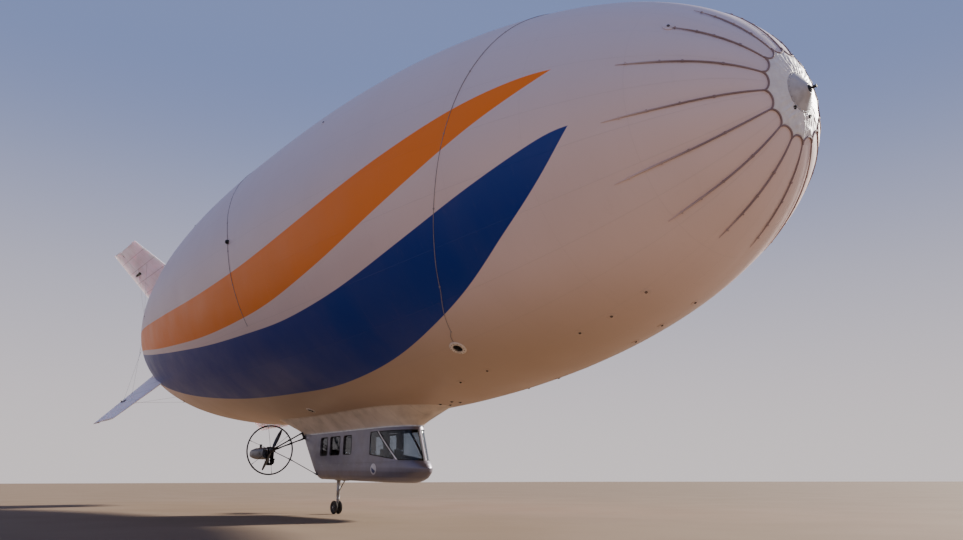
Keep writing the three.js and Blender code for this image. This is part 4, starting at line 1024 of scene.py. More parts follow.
def cabin_outline(half, rear, nose, start=NOSE_START_X, corner=0.06, straight=30, bow=26):
    """Plan outline from the rear corner on the port side round the nose to the starboard one."""
    turn = np.linspace(0, math.pi / 2, 6)
    back = np.stack([rear + corner * (1 - np.cos(turn)), half - corner * (1 - np.sin(turn))], -1)
    run = np.stack([np.linspace(rear + corner, start, straight + 1)[1:-1], np.full(straight - 1, half)], -1)
    turn = np.linspace(0, math.pi / 2, bow + 1)
    front = np.stack([start + (nose - start) * np.sin(turn), half * np.cos(turn)], -1)
    port = np.concatenate([back, run, front])
    return np.concatenate([port, port[-2::-1] * (1, -1)])


def at_height(outline, z):
    """A plan outline set at a height."""
    return np.column_stack([outline, np.full(len(outline), z)])


def cabin_rows(inset):
    """Outlines from the roof down to the keel, the flat belly closed by outlines that narrow to a line."""
    rows = []
    for z in np.concatenate([np.linspace(ROOF_Z, -4.4, 10), np.linspace(-4.42, KEEL_Z, 30)]):
        half, nose = cabin_size(z)
        height = max(z, KEEL_Z + inset)
        outline = cabin_outline(half - inset, REAR_TOP_X + (ROOF_Z - height) * REAR_SLOPE + inset,
                                nose - inset)
        rows.append(np.column_stack([outline, belly(outline[:, 0], height)]))
    return np.array(rows + [rows[-1] * (1, narrow, 1) for narrow in (0.85, 0.6, 0.3, 0)])


def welded(part):
    """The same form with points that touch made one."""
    work = bmesh.new()
    made = [work.verts.new(p) for p in np.asarray(part[0], float).reshape(-1, 3)]
    for face in part[1]:
        work.faces.new([made[i] for i in face])
    bmesh.ops.remove_doubles(work, verts=work.verts[:], dist=1e-5)
    bmesh.ops.recalc_face_normals(work, faces=work.faces[:])
    return taken(work)


def carve(part, tools, operation="DIFFERENCE"):
    """Cuts closed forms out of a closed form, or keeps what they share."""
    objects = []
    for points, faces in map(welded, (part, *tools)):
        mesh = bpy.data.meshes.new("carved")
        mesh.from_pydata(points, [], faces)
        objects.append(new_object("carved", mesh))
    for tool in objects[1:]:
        modifier = objects[0].modifiers.new("cut", "BOOLEAN")
        modifier.operation, modifier.solver, modifier.object = operation, "EXACT", tool
    result = objects[0].evaluated_get(bpy.context.evaluated_depsgraph_get()).to_mesh()
    carved = [tuple(v.co) for v in result.vertices], [list(face.vertices) for face in result.polygons]
    for obj in objects:
        mesh = obj.data
        bpy.data.objects.remove(obj)
        bpy.data.meshes.remove(mesh)
    return carved


def rounded(corners, radius, steps=6):
    """A polygon with each corner replaced by an arc."""
    corners = np.array(corners, float)
    out = []
    for before, corner, after in zip(np.roll(corners, 1, 0), corners, np.roll(corners, -1, 0)):
        u, v = unit(before - corner), unit(after - corner)
        half = math.acos(np.clip(u @ v, -1, 1)) / 2
        centre = corner + unit(u + v) * radius / math.sin(half)
        first, last = (corner + w * radius / math.tan(half) - centre for w in (u, v))
        out += [centre + unit(first * (1 - share) + last * share) * radius
                for share in np.linspace(0, 1, steps)]
    return np.array(out)


def box_outline(low_x, high_x, top, foot, radius=0.04):
    """An upright rectangle with round corners."""
    return rounded(((low_x, top), (high_x, top), (high_x, foot), (low_x, foot)), radius)


def prism(outline, low, high):
    """An outline in x and z carried across the ship from y = low to y = high."""
    return loft([xyz(outline[:, 0], y, outline[:, 1]) for y in (low, high)])


def slab(outer, inner):
    """A closed plate between two grids of points of one shape."""
    rows, cols = outer.shape[:2]
    count, last = rows * cols, (rows - 1) * cols
    faces = grid_faces(rows, cols)
    rim = [*range(cols - 1), *range(cols - 1, last + cols - 1, cols), *range(last + cols - 1, last, -1),
           *range(last, 0, -cols)]
    faces += [[i + count for i in face[::-1]] for face in faces]
    faces += [[b, a, a + count, b + count] for a, b in zip(rim, rim[1:] + rim[:1])]
    return np.concatenate([outer.reshape(-1, 3), inner.reshape(-1, 3)]), faces


def silver_material(name, marked=False):
    """Silver paint, on the skin with panel seams, a light strip beside the windscreen and a
    plain two-tone disc."""
    paint = Paint(name, metallic=0.6, more={"Coat Weight": 0.35, "Coat Roughness": 0.2})
    x, _, z = split(paint.position)
    color = paint.mottle(1.6, 3.0, 0.3, 0.7, (0.165, 0.155, 0.20), (0.205, 0.193, 0.243))
    height = paint.noise(5.0, 4.0) * 0.8
    if marked:
        above = ramp(z, SILL_Z - 0.001, SILL_Z + 0.001)
        rear = x + (z - ROOF_Z) * REAR_SLOPE
        seam = ramp(abs(z - SILL_Z), 0.004, 0.0015)
        for along, place, share in ((x, COCKPIT_X, above), (rear, REAR_TOP_X + 0.064, above),
                                    (x, 1.9, 1.0 - above)):
            seam = seam.larger(ramp(abs(along - place), 0.004, 0.0015) * share)
        color = mix(seam * 0.6, color, (0.10, 0.09, 0.10))
        height = height - seam * 0.6
        strip = ramp(abs(x + z * PILLAR_LEAN + PILLAR_PLACE), 0.020, 0.016) * ramp(z, -4.462, -4.456)
        color = mix(strip * ramp(z, -3.866, -3.872), color, (0.80, 0.79, 0.82))
        away = x.calc("SQRT", (x - ROUNDEL_X) ** 2.0 + (z - ROUNDEL_Z) ** 2.0)
        line = ROUNDEL_Z + 0.5 * ROUNDEL_X
        lower = 1.0 - ramp(z + x * 0.5, line - 0.002, line + 0.002)
        color = mix(ramp(away, 0.117, 0.113) * 0.85, color, (0.60, 0.60, 0.66))
        color = mix(ramp(away, 0.084, 0.080) * lower, color, (0.03, 0.05, 0.16))
    color = paint.soil(color, (0.13, 0.10, 0.085), 0.45, 3.2)
    return paint.finish(color, height, 0.003, spread(paint.noise(7.0), 0.3, 0.7, 0.38, 0.50))


def glass_material():
    """Glass with a dark tint that is painted shade for the dim cabin behind it, faintly uneven."""
    paint = Paint("window_panes", more={"Transmission Weight": 1.0, "IOR": 1.35})
    # The dark tint stands in for the dim cabin seen through the panes: painted shade.
    color = paint.mottle(2.5, 3.0, 0.3, 0.7, (0.34, 0.38, 0.42), (0.41, 0.45, 0.49))
    return paint.finish(color, paint.noise(1.8), 0.004, spread(paint.noise(18.0, 4.0), 0.4, 0.8, 0.01, 0.09))


RUBBER = plain_paint("rubber", (30.0, 5.0, 0.4, 0.7, (0.014, 0.013, 0.014), (0.04, 0.037, 0.036)),
                     (120.0, 0.0005), roughness=0.62, specular=0.35)
SILVER = [silver_material("silver_panels", True), RUBBER, ALLOY, DARK_STEEL]
GLASS = glass_material()
GASKET = [(-0.007, -0.004), (-0.007, 0.0035), (-0.004, 0.0055), (0.004, 0.0055), (0.007, 0.0035),
          (0.007, -0.004)]
SIDE_HOLES = [box_outline(*edges, WINDOW_TOP, WINDOW_SILL) for edges in CABIN_WINDOWS]
SIDE_HOLES += [rounded(COCKPIT_SIDE, 0.024)]
DOOR_HOLE = box_outline(*DOOR_PANE, WINDOW_TOP, WINDOW_SILL)
SCREEN_HOLE = rounded(WINDSCREEN, 0.024)


def dense(outline, spacing=0.02):
    """Points at even steps along a closed outline."""
    outline = np.concatenate([outline, outline[:1]])
    run = np.concatenate([[0], np.cumsum(np.linalg.norm(np.diff(outline, axis=0), axis=1))])
    steps = np.linspace(0, run[-1], max(12, int(run[-1] / spacing)), endpoint=False)
    return np.column_stack([np.interp(steps, run, column) for column in outline.T])


def gasket(line, side):
    """Rubber along a closed line of stations and heights on the cabin's side."""
    x, z = line.T
    return sweep(cabin_side(x, z, side), GASKET, cabin_normal(x, z, side), closed=True)


def windscreen_edge():
    """The windscreen's outline: along the top, down the middle post, back, and up the slanted pillar."""
    (x0, top), _, (_, foot_fore), (x1, foot_aft) = WINDSCREEN
    post_top, post_foot = float(post_station(top)), float(post_station(foot_fore))
    ease = np.sin(np.linspace(0, math.pi / 2, 40))
    down = np.linspace(top, foot_fore, 24)
    edges = [
        at_height((x0 + (post_top - x0) * ease)[:, None], top),
        np.column_stack([post_station(down), down]),
        np.column_stack([x1 + (post_foot - x1) * ease[::-1], np.linspace(foot_fore, foot_aft, 40)]),
        np.linspace((x1, foot_aft), (x0, top), 24),
    ]
    return np.concatenate([edge[:-1] for edge in edges])


def gondola_shell(shell):
    """The skin with its openings cut, their rubber, the rivets, hinge halves and belly grille."""
    tools = [prism(hole, -BEYOND, BEYOND) for hole in SIDE_HOLES]
    tools += [prism(SCREEN_HOLE, POST_HALF, BEYOND), prism(SCREEN_HOLE, -BEYOND, -POST_HALF)]
    tools += [prism(box_outline(DOOR_FROM, DOOR_TO, DOOR_TOP, DOOR_FOOT, 0.05), 0.3, BEYOND)]
    form = Form().add(carve(shell, tools))
    for side in (1, -1):
        for line in [dense(hole) for hole in SIDE_HOLES] + [windscreen_edge()]:
            form.add(gasket(line, side), 1)
        for x in np.arange(1.1, 2.5 if side > 0 else 3.0, 0.42):
            form.add(rod((x, side * 0.424, -4.53), (x, side * 0.4285, -4.53), 0.005, 8), 2)
    for z in HINGE_HEIGHTS:
        form.add(tube((*HINGE_PIN, z), UPWARD, 0.008, 0.003, 0.0003, 0.022, 16), 2)
        form.add(block((3.124, 0.410, z + 0.0003), (3.18, 0.436, z + 0.022), 0.003), 2)
    for x, y in product((1.75, 1.81, 1.87), (-0.09, 0.09)):
        z = KEEL_Z - BELLY_FALL * (x - BELLY_START_X)
        form.add(block((x, y - 0.06, z - 0.006), (x + 0.03, y + 0.06, z + 0.01), 0.003), 3)
    nodes = ["gondola_tub", "gondola_rear_wall", "gondola_side_port", "gondola_side_starboard",
             "cockpit_frame"]
    form.piece("gondola_skin", SILVER, "silver_panel", nodes, crease=30)


def pane(name, node, x, z, side, depth=0.008, thickness=0.006, body="hull"):
    """A bent pane between two depths inside the cabin's skin."""
    plate = slab(cabin_side(x, z, side, depth), cabin_side(x, z, side, depth + thickness))
    Form().add(plate).piece(name, [GLASS], "window_glass", [node], body=body)


def cabin_panes():
    """Window panes: two bent ones each side of the cockpit and a strip behind the cabin windows."""
    v, u = np.linspace(0, 1, 14)[:, None], np.linspace(0, 1, 30)[None, :]
    (x0, top), _, (_, foot), (x1, _) = WINDSCREEN
    z = top + PANE_LAP + (foot - top - 2 * PANE_LAP) * v
    left_x = x0 + (x1 - x0) * v - PANE_LAP
    screen = (left_x + (post_station(z) - 0.0015 - left_x) * np.sin(u * math.pi / 2), z)
    (rear_x, top), (top_x, _), (foot_x, fore_z), (_, rear_z) = COCKPIT_SIDE
    low_z = rear_z + (fore_z - rear_z) * u - PANE_LAP
    high_x = top_x + (foot_x - top_x) * v + PANE_LAP
    cockpit = (rear_x - PANE_LAP + (high_x - rear_x + PANE_LAP) * u,
               top + PANE_LAP + (low_z - top - PANE_LAP) * v)
    strip = np.linspace(*STRIP_REACH, 12)[None, :], np.linspace(*STRIP_HEIGHTS, 8)[:, None]
    for label, side in SIDES:
        pane("windscreen_pane_" + label, "windscreen_" + label, *screen, side)
        pane("cockpit_pane_" + label, "cockpit_window_" + label, *cockpit, side)
        pane("cabin_panes_" + label, "cabin_glazing_" + label, *strip, side, CABIN_WALL + 0.001, 0.004)
    x = np.linspace(DOOR_PANE[0] - PANE_LAP, DOOR_PANE[1] + PANE_LAP, 5)[None, :]
    z = np.linspace(WINDOW_TOP + PANE_LAP, WINDOW_SILL - PANE_LAP, 8)[:, None]
    pane("door_pane", "cabin_door_window", x, z, 1, body="cabin_door")


def cabin_door(shell):
    """The leaf is cut from the same skin, so it follows the cabin's side."""
    leaf = box_outline(DOOR_FROM + DOOR_CLEAR, DOOR_TO - DOOR_CLEAR, DOOR_TOP - DOOR_CLEAR,
                       DOOR_FOOT + DOOR_CLEAR, 0.046)
    form = Form().add(carve(carve(shell, [prism(leaf, 0.3, BEYOND)], "INTERSECT"),
                            [prism(DOOR_HOLE, 0.3, BEYOND)]))
    form.add(gasket(dense(DOOR_HOLE), 1), 1)
    for z in HINGE_HEIGHTS:
        form.add(tube((*HINGE_PIN, z), UPWARD, 0.008, 0.003, -0.044, 0.0, 16), 2)
        form.add(block((3.068, 0.428, z - 0.044), (3.124, 0.436, z), 0.003), 2)
    form.add(block((2.665, 0.42, -4.45), (2.745, 0.428, -4.40), 0.003), 2)
    form.add(rod((2.68, 0.424, -4.425), (2.68, 0.441, -4.425), 0.008, 12), 3)
    form.add(block((2.675, 0.436, -4.433), (2.74, 0.445, -4.417), 0.004), 3)
    form.piece("door_leaf", SILVER, "silver_panel", ["cabin_door"], body="cabin_door", crease=30)


def skirt_material():
    """Pale cloth with upright seams, a little dirty."""
    paint = Paint("skirt_fabric", 0.8, 0.2)
    color = paint.mottle(2.2, 3.0, 0.3, 0.7, (0.70, 0.60, 0.51), (0.80, 0.70, 0.61))
    seams = grouped(SEAM_LINES, split(paint.position)[0], 0.62, 0.007)
    color = paint.soil(mix(seams * 0.4, color, (0.16, 0.12, 0.11)), (0.12, 0.09, 0.07), 0.25, 2.6)
    return paint.finish(color, paint.noise(150.0, 1.0) * 0.06 + paint.noise(4.0, 4.0) * 0.55, 0.008)


def skirt():
    """Cloth from the roof's edge up to the hull: outline = low + (high - low) v^1.35, with
    soft upright folds."""
    low = cabin_outline(ROOF_HALF, REAR_TOP_X, ROOF_NOSE, straight=60, bow=40)
    high = cabin_outline(*SKIRT_TOP, start=3.3, corner=0.42, straight=60, bow=40)
    middle, oval = np.array((2, 0)), np.array((1, 4))
    shells = []
    for inset in (0.0, 0.008):
        rows = []
        for v in np.linspace(0, 1, 26):
            flat = low + (high - low) * v**1.35
            pull = inset / np.linalg.norm((flat - middle) * oval, axis=1)[:, None]
            flat = flat * (1 - pull * oval) + middle * pull
            top = 0.004 - np.sqrt(hull_radius(flat[:, 0]) ** 2 - flat[:, 1] ** 2)
            spot = at_height(flat, SKIRT_FOOT + (top - SKIRT_FOOT) * v)
            fold = 0.003 * waves(spot * (1, 1, 0.25), 0.5, 31, 3) * math.sin(math.pi * v) ** 0.7
            rows.append(spot + fold[:, None] * at_height(flat - middle, 0) * (0.25, 1, 0))
        shells.append(np.array(rows))
    form = Form().add(loft(np.concatenate([shells[0], shells[1][::-1]]), closed=True))
    x, y = dense(high, 0.06).T
    turn = math.pi - np.arcsin(y / hull_radius(x))
    tape = [(-0.035, -0.005), (-0.035, 0.002), (0.035, 0.002), (0.035, -0.005)]
    form.add(sweep(on_hull(x, turn, 0.003), tape, hull_normal(x, turn), closed=True))
    rail = at_height(dense(cabin_outline(ROOF_HALF + 0.004, REAR_TOP_X - 0.004, ROOF_NOSE + 0.004, bow=40),
                           0.05), -3.787)
    strip = [(-0.004, -0.012), (-0.004, 0.012), (0.003, 0.012), (0.003, -0.012)]
    form.add(sweep(rail, strip, UPWARD, closed=True), 1)
    for spot in rail[::3]:
        x, y, _ = spot
        out = unit([max(0.0, x - NOSE_START_X) * 0.3 if x > 0.1 else -1.0, y, 0])
        form.add(rod(spot, spot + out * 0.007, 0.005, 6), 1)
    form.piece("skirt_cloth", [skirt_material(), ALLOY], "skirt_fabric", ["gondola_skirt"], crease=50)


def roof_plate():
    """A flat plate inside the skin's upper edge, with cross bars under it."""
    outline = cabin_outline(ROOF_HALF - 0.001, REAR_TOP_X + 0.001, ROOF_NOSE - 0.001)
    edge = ((-3.7997, 0.002), (-3.797, 0), (-3.779, 0), (-3.776, 0.002))
    form = Form().add(loft([at_height(outline - np.sign(outline - (2.2, 0)) * inset, z)
                            for z, inset in edge]))
    for x in np.arange(0.4, 4.2, 0.6):
        form.add(block((x, -0.34, -3.82), (x + 0.03, 0.34, -3.7997), 0.003))
    form.piece("roof_deck", [silver_material("silver_fittings")], "dark_trim", ["gondola_roof"])


SHELL_ROWS = np.concatenate([cabin_rows(0)[::-1], cabin_rows(CABIN_WALL)])
CABIN_SHELL = welded((SHELL_ROWS, grid_faces(*SHELL_ROWS.shape[:2], wrap_cols=True)))
gondola_shell(CABIN_SHELL)
cabin_panes()
cabin_door(CABIN_SHELL)
skirt()
roof_plate()


# Cabin interior
# Behind the glass are a ribbed floor, two pilot seats at a narrow instrument board, and three
# rows of two seats on rails. Cushions are stuffed and crowned, with piping round their edges.
FLOOR_TOP = -4.73
FOOTING = FLOOR_TOP + 0.0003
SEAT_ROWS = (1.33, 1.86, 2.39)
SEAT_SIDE = 0.23
SEAT_PAD = (0.215, 0.205, 0.05)
BACK_PAD = (0.335, 0.200, 0.034)
PAD_GRID = 14


def fabric_material(name, dark, light):
    """Woven cloth with soft patches of two colours."""
    paint = Paint(name, 0.85, 0.2)
    color = paint.soil(paint.mottle(24.0, 4.0, 0.35, 0.7, dark, light), (0.05, 0.04, 0.035), 0.4, 8.0)
    return paint.finish(color, paint.noise(260.0, 1.0) + paint.noise(16.0), 0.0012)


SEAT_CLOTH = fabric_material("seat_cloth", (0.035, 0.045, 0.075), (0.07, 0.085, 0.13))
FLOOR_MAT = fabric_material("floor_mat", (0.03, 0.03, 0.032), (0.07, 0.068, 0.066))
TRIM = steel_material("dark_trim", (0.02, 0.02, 0.022), (0.05, 0.05, 0.052), 0.2, 0.5)


def boxy(share, power):
    """A sine or cosine pushed out, so that a circle made from it turns squarer."""
    return np.sign(share) * np.abs(share) ** power


def cushion(size, crown):
    """A stuffed form p / |p|_5 over a cube's faces: its big faces are crowned and
    crossed by sewn channels, its sides drawn in."""
    a, b = np.meshgrid(*[np.linspace(-1, 1, PAD_GRID)] * 2, indexing="ij")
    points, faces = [], []
    for axis, sign in product(range(3), (1, -1)):
        start = len(points) * PAD_GRID**2
        points.append(np.roll(xyz(a, b, sign), axis + 1, axis=-1).reshape(-1, 3))
        faces += [[i + start for i in face] for face in grid_faces(PAD_GRID, PAD_GRID)]
    cube = np.concatenate(points)
    shape = cube / (np.abs(cube) ** 5).sum(axis=1, keepdims=True) ** 0.2
    shape[:, :2] *= 1 - 0.06 * (1 - np.abs(shape[:, [1, 0]]) ** 3) * (np.abs(shape[:, :2]) > 0.5)
    puff = (1 - shape[:, 0] ** 2).clip(0) * (1 - shape[:, 1] ** 2).clip(0)
    sewn = np.exp(-(((np.abs((shape[:, 1] * 2) % 1 - 0.5) - 0.5) / 0.09) ** 2))
    out = shape * np.array(size) / 2
    out[:, 2] += np.sign(shape[:, 2]) * (np.abs(shape[:, 2]) > 0.4) * crown * (puff - 0.3 * sewn * puff**0.3)
    return out, faces


def piping(size, height):
    """A round cord along a cushion's edge."""
    ring = np.cos(turns(48)), np.sin(turns(48))
    x, y = (half * 0.985 * boxy(wave, 0.42) for half, wave in zip(np.array(size) / 2, ring))
    return sweep(xyz(x, y, height), circle(0.003, 6), UPWARD, closed=True)


def shifted(part, spot, upright=False):
    """The part at another place, stood on its edge where asked."""
    points = np.asarray(part[0]).reshape(-1, 3)
    return (points[:, [2, 1, 0]] * (-1, 1, 1) if upright else points) + np.array(spot), part[1]


def seats(name, places, node, rails=()):
    """Seats in two pieces: the frames with their foot plates and legs, and the padded cushions."""
    frames, soft = Form(), Form()
    for x, y in places:
        frames.add(block((x - 0.07, y - 0.06, FOOTING), (x + 0.07, y + 0.06, FOOTING + 0.018)))
        for dx, dy in product((-0.055, 0.055), (-0.045, 0.045)):
            frames.add(rod((x + dx, y + dy, FOOTING + 0.015),
                           (x + dx * 1.2, y + dy * 1.3, FOOTING + 0.125), 0.008, 10))
        frames.add(block((x - 0.10, y - 0.095, FOOTING + 0.120), (x + 0.105, y + 0.095, FOOTING + 0.134)))
        frames.add(block((x - 0.131, y - 0.088, FOOTING + 0.124),
                         (x - 0.117, y + 0.088, FOOTING + 0.50), 0.005))
        for part in (cushion(SEAT_PAD, 0.010), piping(SEAT_PAD, 0.016)):
            soft.add(shifted(part, (x + 0.004, y, FOOTING + 0.158)))
        for part in (cushion(BACK_PAD, 0.008), piping(BACK_PAD, 0.010)):
            soft.add(shifted(part, (x - 0.098, y, FOOTING + 0.345), upright=True))
    for rail in rails:
        frames.add(rail)
    frames.piece(name + "_frames", [TRIM], "seat_fabric", [node])
    soft.piece(name + "_cushions", [SEAT_CLOTH], "seat_fabric")


def floor_deck():
    """The cabin's plan outline, cut off straight ahead of the pilots, with ribs along it."""
    outline = cabin_outline(0.404 - CABIN_WALL - 0.0003, 0.865 + CABIN_WALL, 4.75 - CABIN_WALL)
    outline[:, 0] = np.minimum(outline[:, 0], 4.45)
    form = Form().add(loft([at_height(outline * (1, 0.975), FLOOR_TOP - 0.016),
                            at_height(outline, FLOOR_TOP)]))
    for y in np.arange(-0.09, 0.1, 0.03):
        form.add(block((1.2, y - 0.004, FLOOR_TOP - 0.001), (3.3, y + 0.004, FLOOR_TOP + 0.003), 0.001))
    form.piece("floor_deck", [FLOOR_MAT], "dark_trim", ["cabin_floor"])


def instrument_board():
    """A narrow foot, a leaning board under a thin glare shield, and two rows of dials on it."""
    form = Form().add(block((4.065, -0.105, FOOTING), (4.195, 0.105, -4.53), 0.012))
    board = ((4.02, -4.54), (4.23, -4.54), (4.23, -4.48), (4.12, -4.43), (4.04, -4.43))
    shield = ((4.02, -4.428), (4.13, -4.424), (4.235, -4.474), (4.235, -4.482), (4.128, -4.434),
              (4.02, -4.436))
    form.add(prism(rounded(board, 0.008, 4), -0.29, 0.29))
    form.add(prism(rounded(shield, 0.0015, 3), -0.292, 0.292), 1)
    for y, (z, radius) in product(np.linspace(-0.235, 0.235, 7), ((-4.462, 0.024), (-4.512, 0.019))):
        spot = (4.0195 + 0.02 * (z + 4.54) / 0.11, y, z)
        form.add(lathe([(radius, 0.004), (radius, -0.004), (radius * 0.86, -0.006), (radius * 0.84, -0.001)],
                       spot, AHEAD, 20), 1)
        form.add(lathe([(radius * 0.86, 0.002), (radius * 0.86, -0.003), (0.002, -0.003)],
                       spot, AHEAD, 20), 2)
    dials = plain_paint("dial_faces", (140.0, 1.0, 0.45, 0.6, (0.02, 0.03, 0.035), (0.10, 0.16, 0.18)),
                        roughness=0.25)
    form.piece("instrument_board", [TRIM, RUBBER, dials], "dark_trim", ["instrument_panel"])


floor_deck()
rails = [block((1.2, y - 0.02, FOOTING), (2.48, y + 0.02, FLOOR_TOP + 0.0143), 0.003)
         for y in (SEAT_SIDE, -SEAT_SIDE)]
seats("passenger", product(SEAT_ROWS, (SEAT_SIDE, -SEAT_SIDE)), "passenger_seats", rails)
for label, side in SIDES:
    seats("pilot_" + label, [(3.6, side * 0.175)], "pilot_seat_" + label)
instrument_board()


# Power units
# On each side an inverted engine stands out on two struts and turns a two-bladed propeller
# through a gearbox. A ring guard on wire spokes circles it, and a grey cowl trails behind.
PROP_X = 0.187
PROP_REST = 24
POWER_Y = 1.3
SHAFT_Z = -4.16
GEARBOX_X = 0.065
RING_X = 0.07
RING_RADIUS = 0.566
SPOKES = 6
SPOKE_TURN = math.radians(-22)
STAY_FOOT_X, STAY_FOOT_Z = 0.80, -4.725
# columns: station, half width, half height, centre height
COWL = ((-0.0673, 0.128, 0.125, -4.228), (-0.33, 0.150, 0.143, -4.230), (-0.68, 0.142, 0.135, -4.228),
        (-0.96, 0.102, 0.098, -4.222), (-1.055, 0.052, 0.050, -4.218))
COWL_END = -1.055
# columns: radius, chord, pitch in degrees, thickness
BLADE = ((0.03, 0.046, 55, 0.030), (0.11, 0.078, 42, 0.022), (0.25, 0.092, 28, 0.014),
         (0.41, 0.076, 20, 0.010), (0.52, 0.04, 16, 0.006))


def eased(places, table, width):
    """Columns of a table read at places, averaged over a width so that no corner shows."""
    table = np.array(sorted(table))
    low, high = table[0, 0], table[-1, 0]
    spots = np.asarray(places)[:, None] + np.linspace(-width / 2, width / 2, 9)
    spots = np.where(spots < low, 2 * low - spots, spots)
    spots = np.where(spots > high, 2 * high - spots, spots)
    return [np.interp(spots, table[:, 0], column).mean(axis=1) for column in table.T[1:]]


def cowl_material():
    """Grey paint with streaks of oil along the flow."""
    paint = Paint("cowl_paint", 0.4, 0.45, 0.1)
    oil = ramp(paint.noise(1.6, 5.0, stretch=(3.0, 14.0, 14.0)), 0.5, 0.68)
    color = paint.mottle(9.0, 4.0, 0.35, 0.7, (0.12, 0.125, 0.135), (0.17, 0.175, 0.185))
    color = paint.soil(mix(oil * 0.6, color, (0.05, 0.045, 0.04)), (0.06, 0.045, 0.035), 0.6, 7.0)
    return paint.finish(color, paint.noise(30.0), 0.001)


def engine(label, side):
    """An inverted engine: four finned cylinders hang from the case, and out is counted
    off the shaft, away from the cabin."""
    def at(x, out, z):
        return x, side * (POWER_Y + out), z

    def pipe(path, radius, sides, mark, up=AHEAD, scale=1.0):
        form.add(sweep([at(*spot) for spot in path], circle(radius, sides), up, scale), mark)

    form = Form()
    form.add(block(at(-0.063, -0.112, -4.305), at(0.066, 0.060, -4.098), 0.014))
    form.add(block(at(-0.050, -0.080, -4.10), at(0.055, 0.040, -4.085)))
    fins = [(0.0260, 0.0), *[(0.0335 if k % 2 else 0.027, 0.0065 * k) for k in range(24)], (0.024, 0.152)]
    for x, out in product((-0.0305, 0.040), (-0.084, 0.024)):
        form.add(lathe(fins, at(x, out, -4.303), (0, 0, -1), 24))
        form.add(block(at(x - 0.029, out - 0.031, -4.492), at(x + 0.025, out + 0.029, -4.452), 0.008))
        form.add(lathe([(0.008, 0.0), (0.008, 0.013), (0.005, 0.020)], at(x, out + 0.028, -4.472),
                       (0, side, -0.1), 8), 1)
        pipe([(x, out + 0.046, -4.472), (x, out + 0.052, -4.42), (x - 0.005, 0.066, -4.33),
              (x, 0.062, -4.24)], 0.0035, 6, 0)
    form.add(block(at(-0.045, -0.088, -4.518), at(0.055, 0.028, -4.485), 0.010), 1)
    for x in (-0.035, 0.035):
        pipe([(x, -0.112, -4.465), (x, -0.125, -4.462), (x - 0.006, -0.132, -4.440),
              (x - 0.010, -0.130, -4.395)], 0.011, 10, 1)
    muffler = [(0.070, -0.124, -4.380), (0.062, -0.124, -4.378), (-0.02, -0.124, -4.374),
               (-0.066, -0.124, -4.370)]
    pipe(muffler, 0.020, 14, 1, UPWARD, np.array([0.6, 1, 1, 1]))
    pipe([(-0.066, 0.072, -4.150), (-0.04, 0.075, -4.147), (0.03, 0.075, -4.143), (0.058, 0.068, -4.150),
          (0.066, 0.050, -4.165)], 0.019, 16, 2, UPWARD)
    for x in (-0.045, 0.0, 0.035):
        form.add(rod(at(x - 0.004, 0.075, -4.1445), at(x + 0.004, 0.075, -4.1440), 0.0215, 16), 1)
    casing = [(0.046, -0.012), (0.050, -0.008), (0.050, 0.004), (0.047, 0.006), (0.047, 0.040),
              (0.044, 0.050), (0.036, 0.056), (0.019, 0.058), (0.016, 0.0585), (0.016, 0.142)]
    form.add(lathe(casing, at(GEARBOX_X, 0, SHAFT_Z), AHEAD, 40), 1)
    for turn in turns(8):
        spot = np.array(at(0.069, 0.0445 * math.sin(turn), SHAFT_Z + 0.0445 * math.cos(turn)))
        form.add(rod(spot, spot + (0.005, 0, 0), 0.004, 6), 1)
    for x, out in product((-0.045, -0.015, 0.015, 0.045), (0.0585, -0.1105)):
        form.add(rod(at(x, out, -4.225), at(x, out + math.copysign(0.006, out), -4.225), 0.0045, 6), 1)
    form.piece("engine_core_" + label, [DARK_STEEL, TRIM, ALLOY], "dark_steel", ["engine_" + label])


def engine_cowl(label, side, paint):
    """Superellipse sections whose half width, half height and centre are eased along the station."""
    y = side * POWER_Y
    x = np.concatenate([np.linspace(-0.0673, -1.0, 46), np.linspace(-1.006, COWL_END, 9)])[:, None]
    half, tall, centre = (column[:, None] for column in eased(x[:, 0], COWL, 0.09))
    blunt = 0.35 + 0.65 * np.sqrt(np.clip((x - COWL_END) / 0.055, 0, 1))
    half, tall = half * blunt, tall * blunt
    across, rise = boxy(np.cos(turns(64)), 0.75), boxy(np.sin(turns(64)), 0.75)
    seam = 1 - 0.02 * np.exp(-(((x + 0.36) / 0.0025) ** 2))
    form = Form().add(loft(xyz(x, y + half * seam * across, centre + tall * seam * rise)))
    crest = np.argmin(abs(x + 0.51))
    stub = [(0.036, -0.02), (0.036, 0.004), (0.0285, 0.006), (0.0285, 0.066), (0.0315, 0.068),
            (0.0315, 0.078), (0.0285, 0.082), (0.022, 0.082), (0.020, 0.05)]
    form.add(lathe(stub, (-0.51, y, float(centre[crest, 0] + tall[crest, 0])), UPWARD, 28), 1)
    for z, out in product((-4.259, -4.239, -4.219, -4.199), (1, -1)):
        form.add(block((-0.27, y + out * 0.136, z - 0.003), (-0.19, y + out * 0.1485, z + 0.004), 0.002), 1)
    for station in (-0.090, -0.340, -0.380):
        half, tall, centre = (float(v[0]) for v in eased([station], COWL, 0.09))
        for turn in turns(10, 0.5):
            out = np.array([0, half * boxy(math.cos(turn), 0.75), tall * boxy(math.sin(turn), 0.75)])
            spot = np.array([station, y, centre]) + out
            form.add(rod(spot - out * 0.02, spot + unit(out) * 0.002, 0.004, 8), 2)
    form.piece("engine_fairing_" + label, [paint, DARK_STEEL, ALLOY], "cowl_paint", ["engine_cowl_" + label])


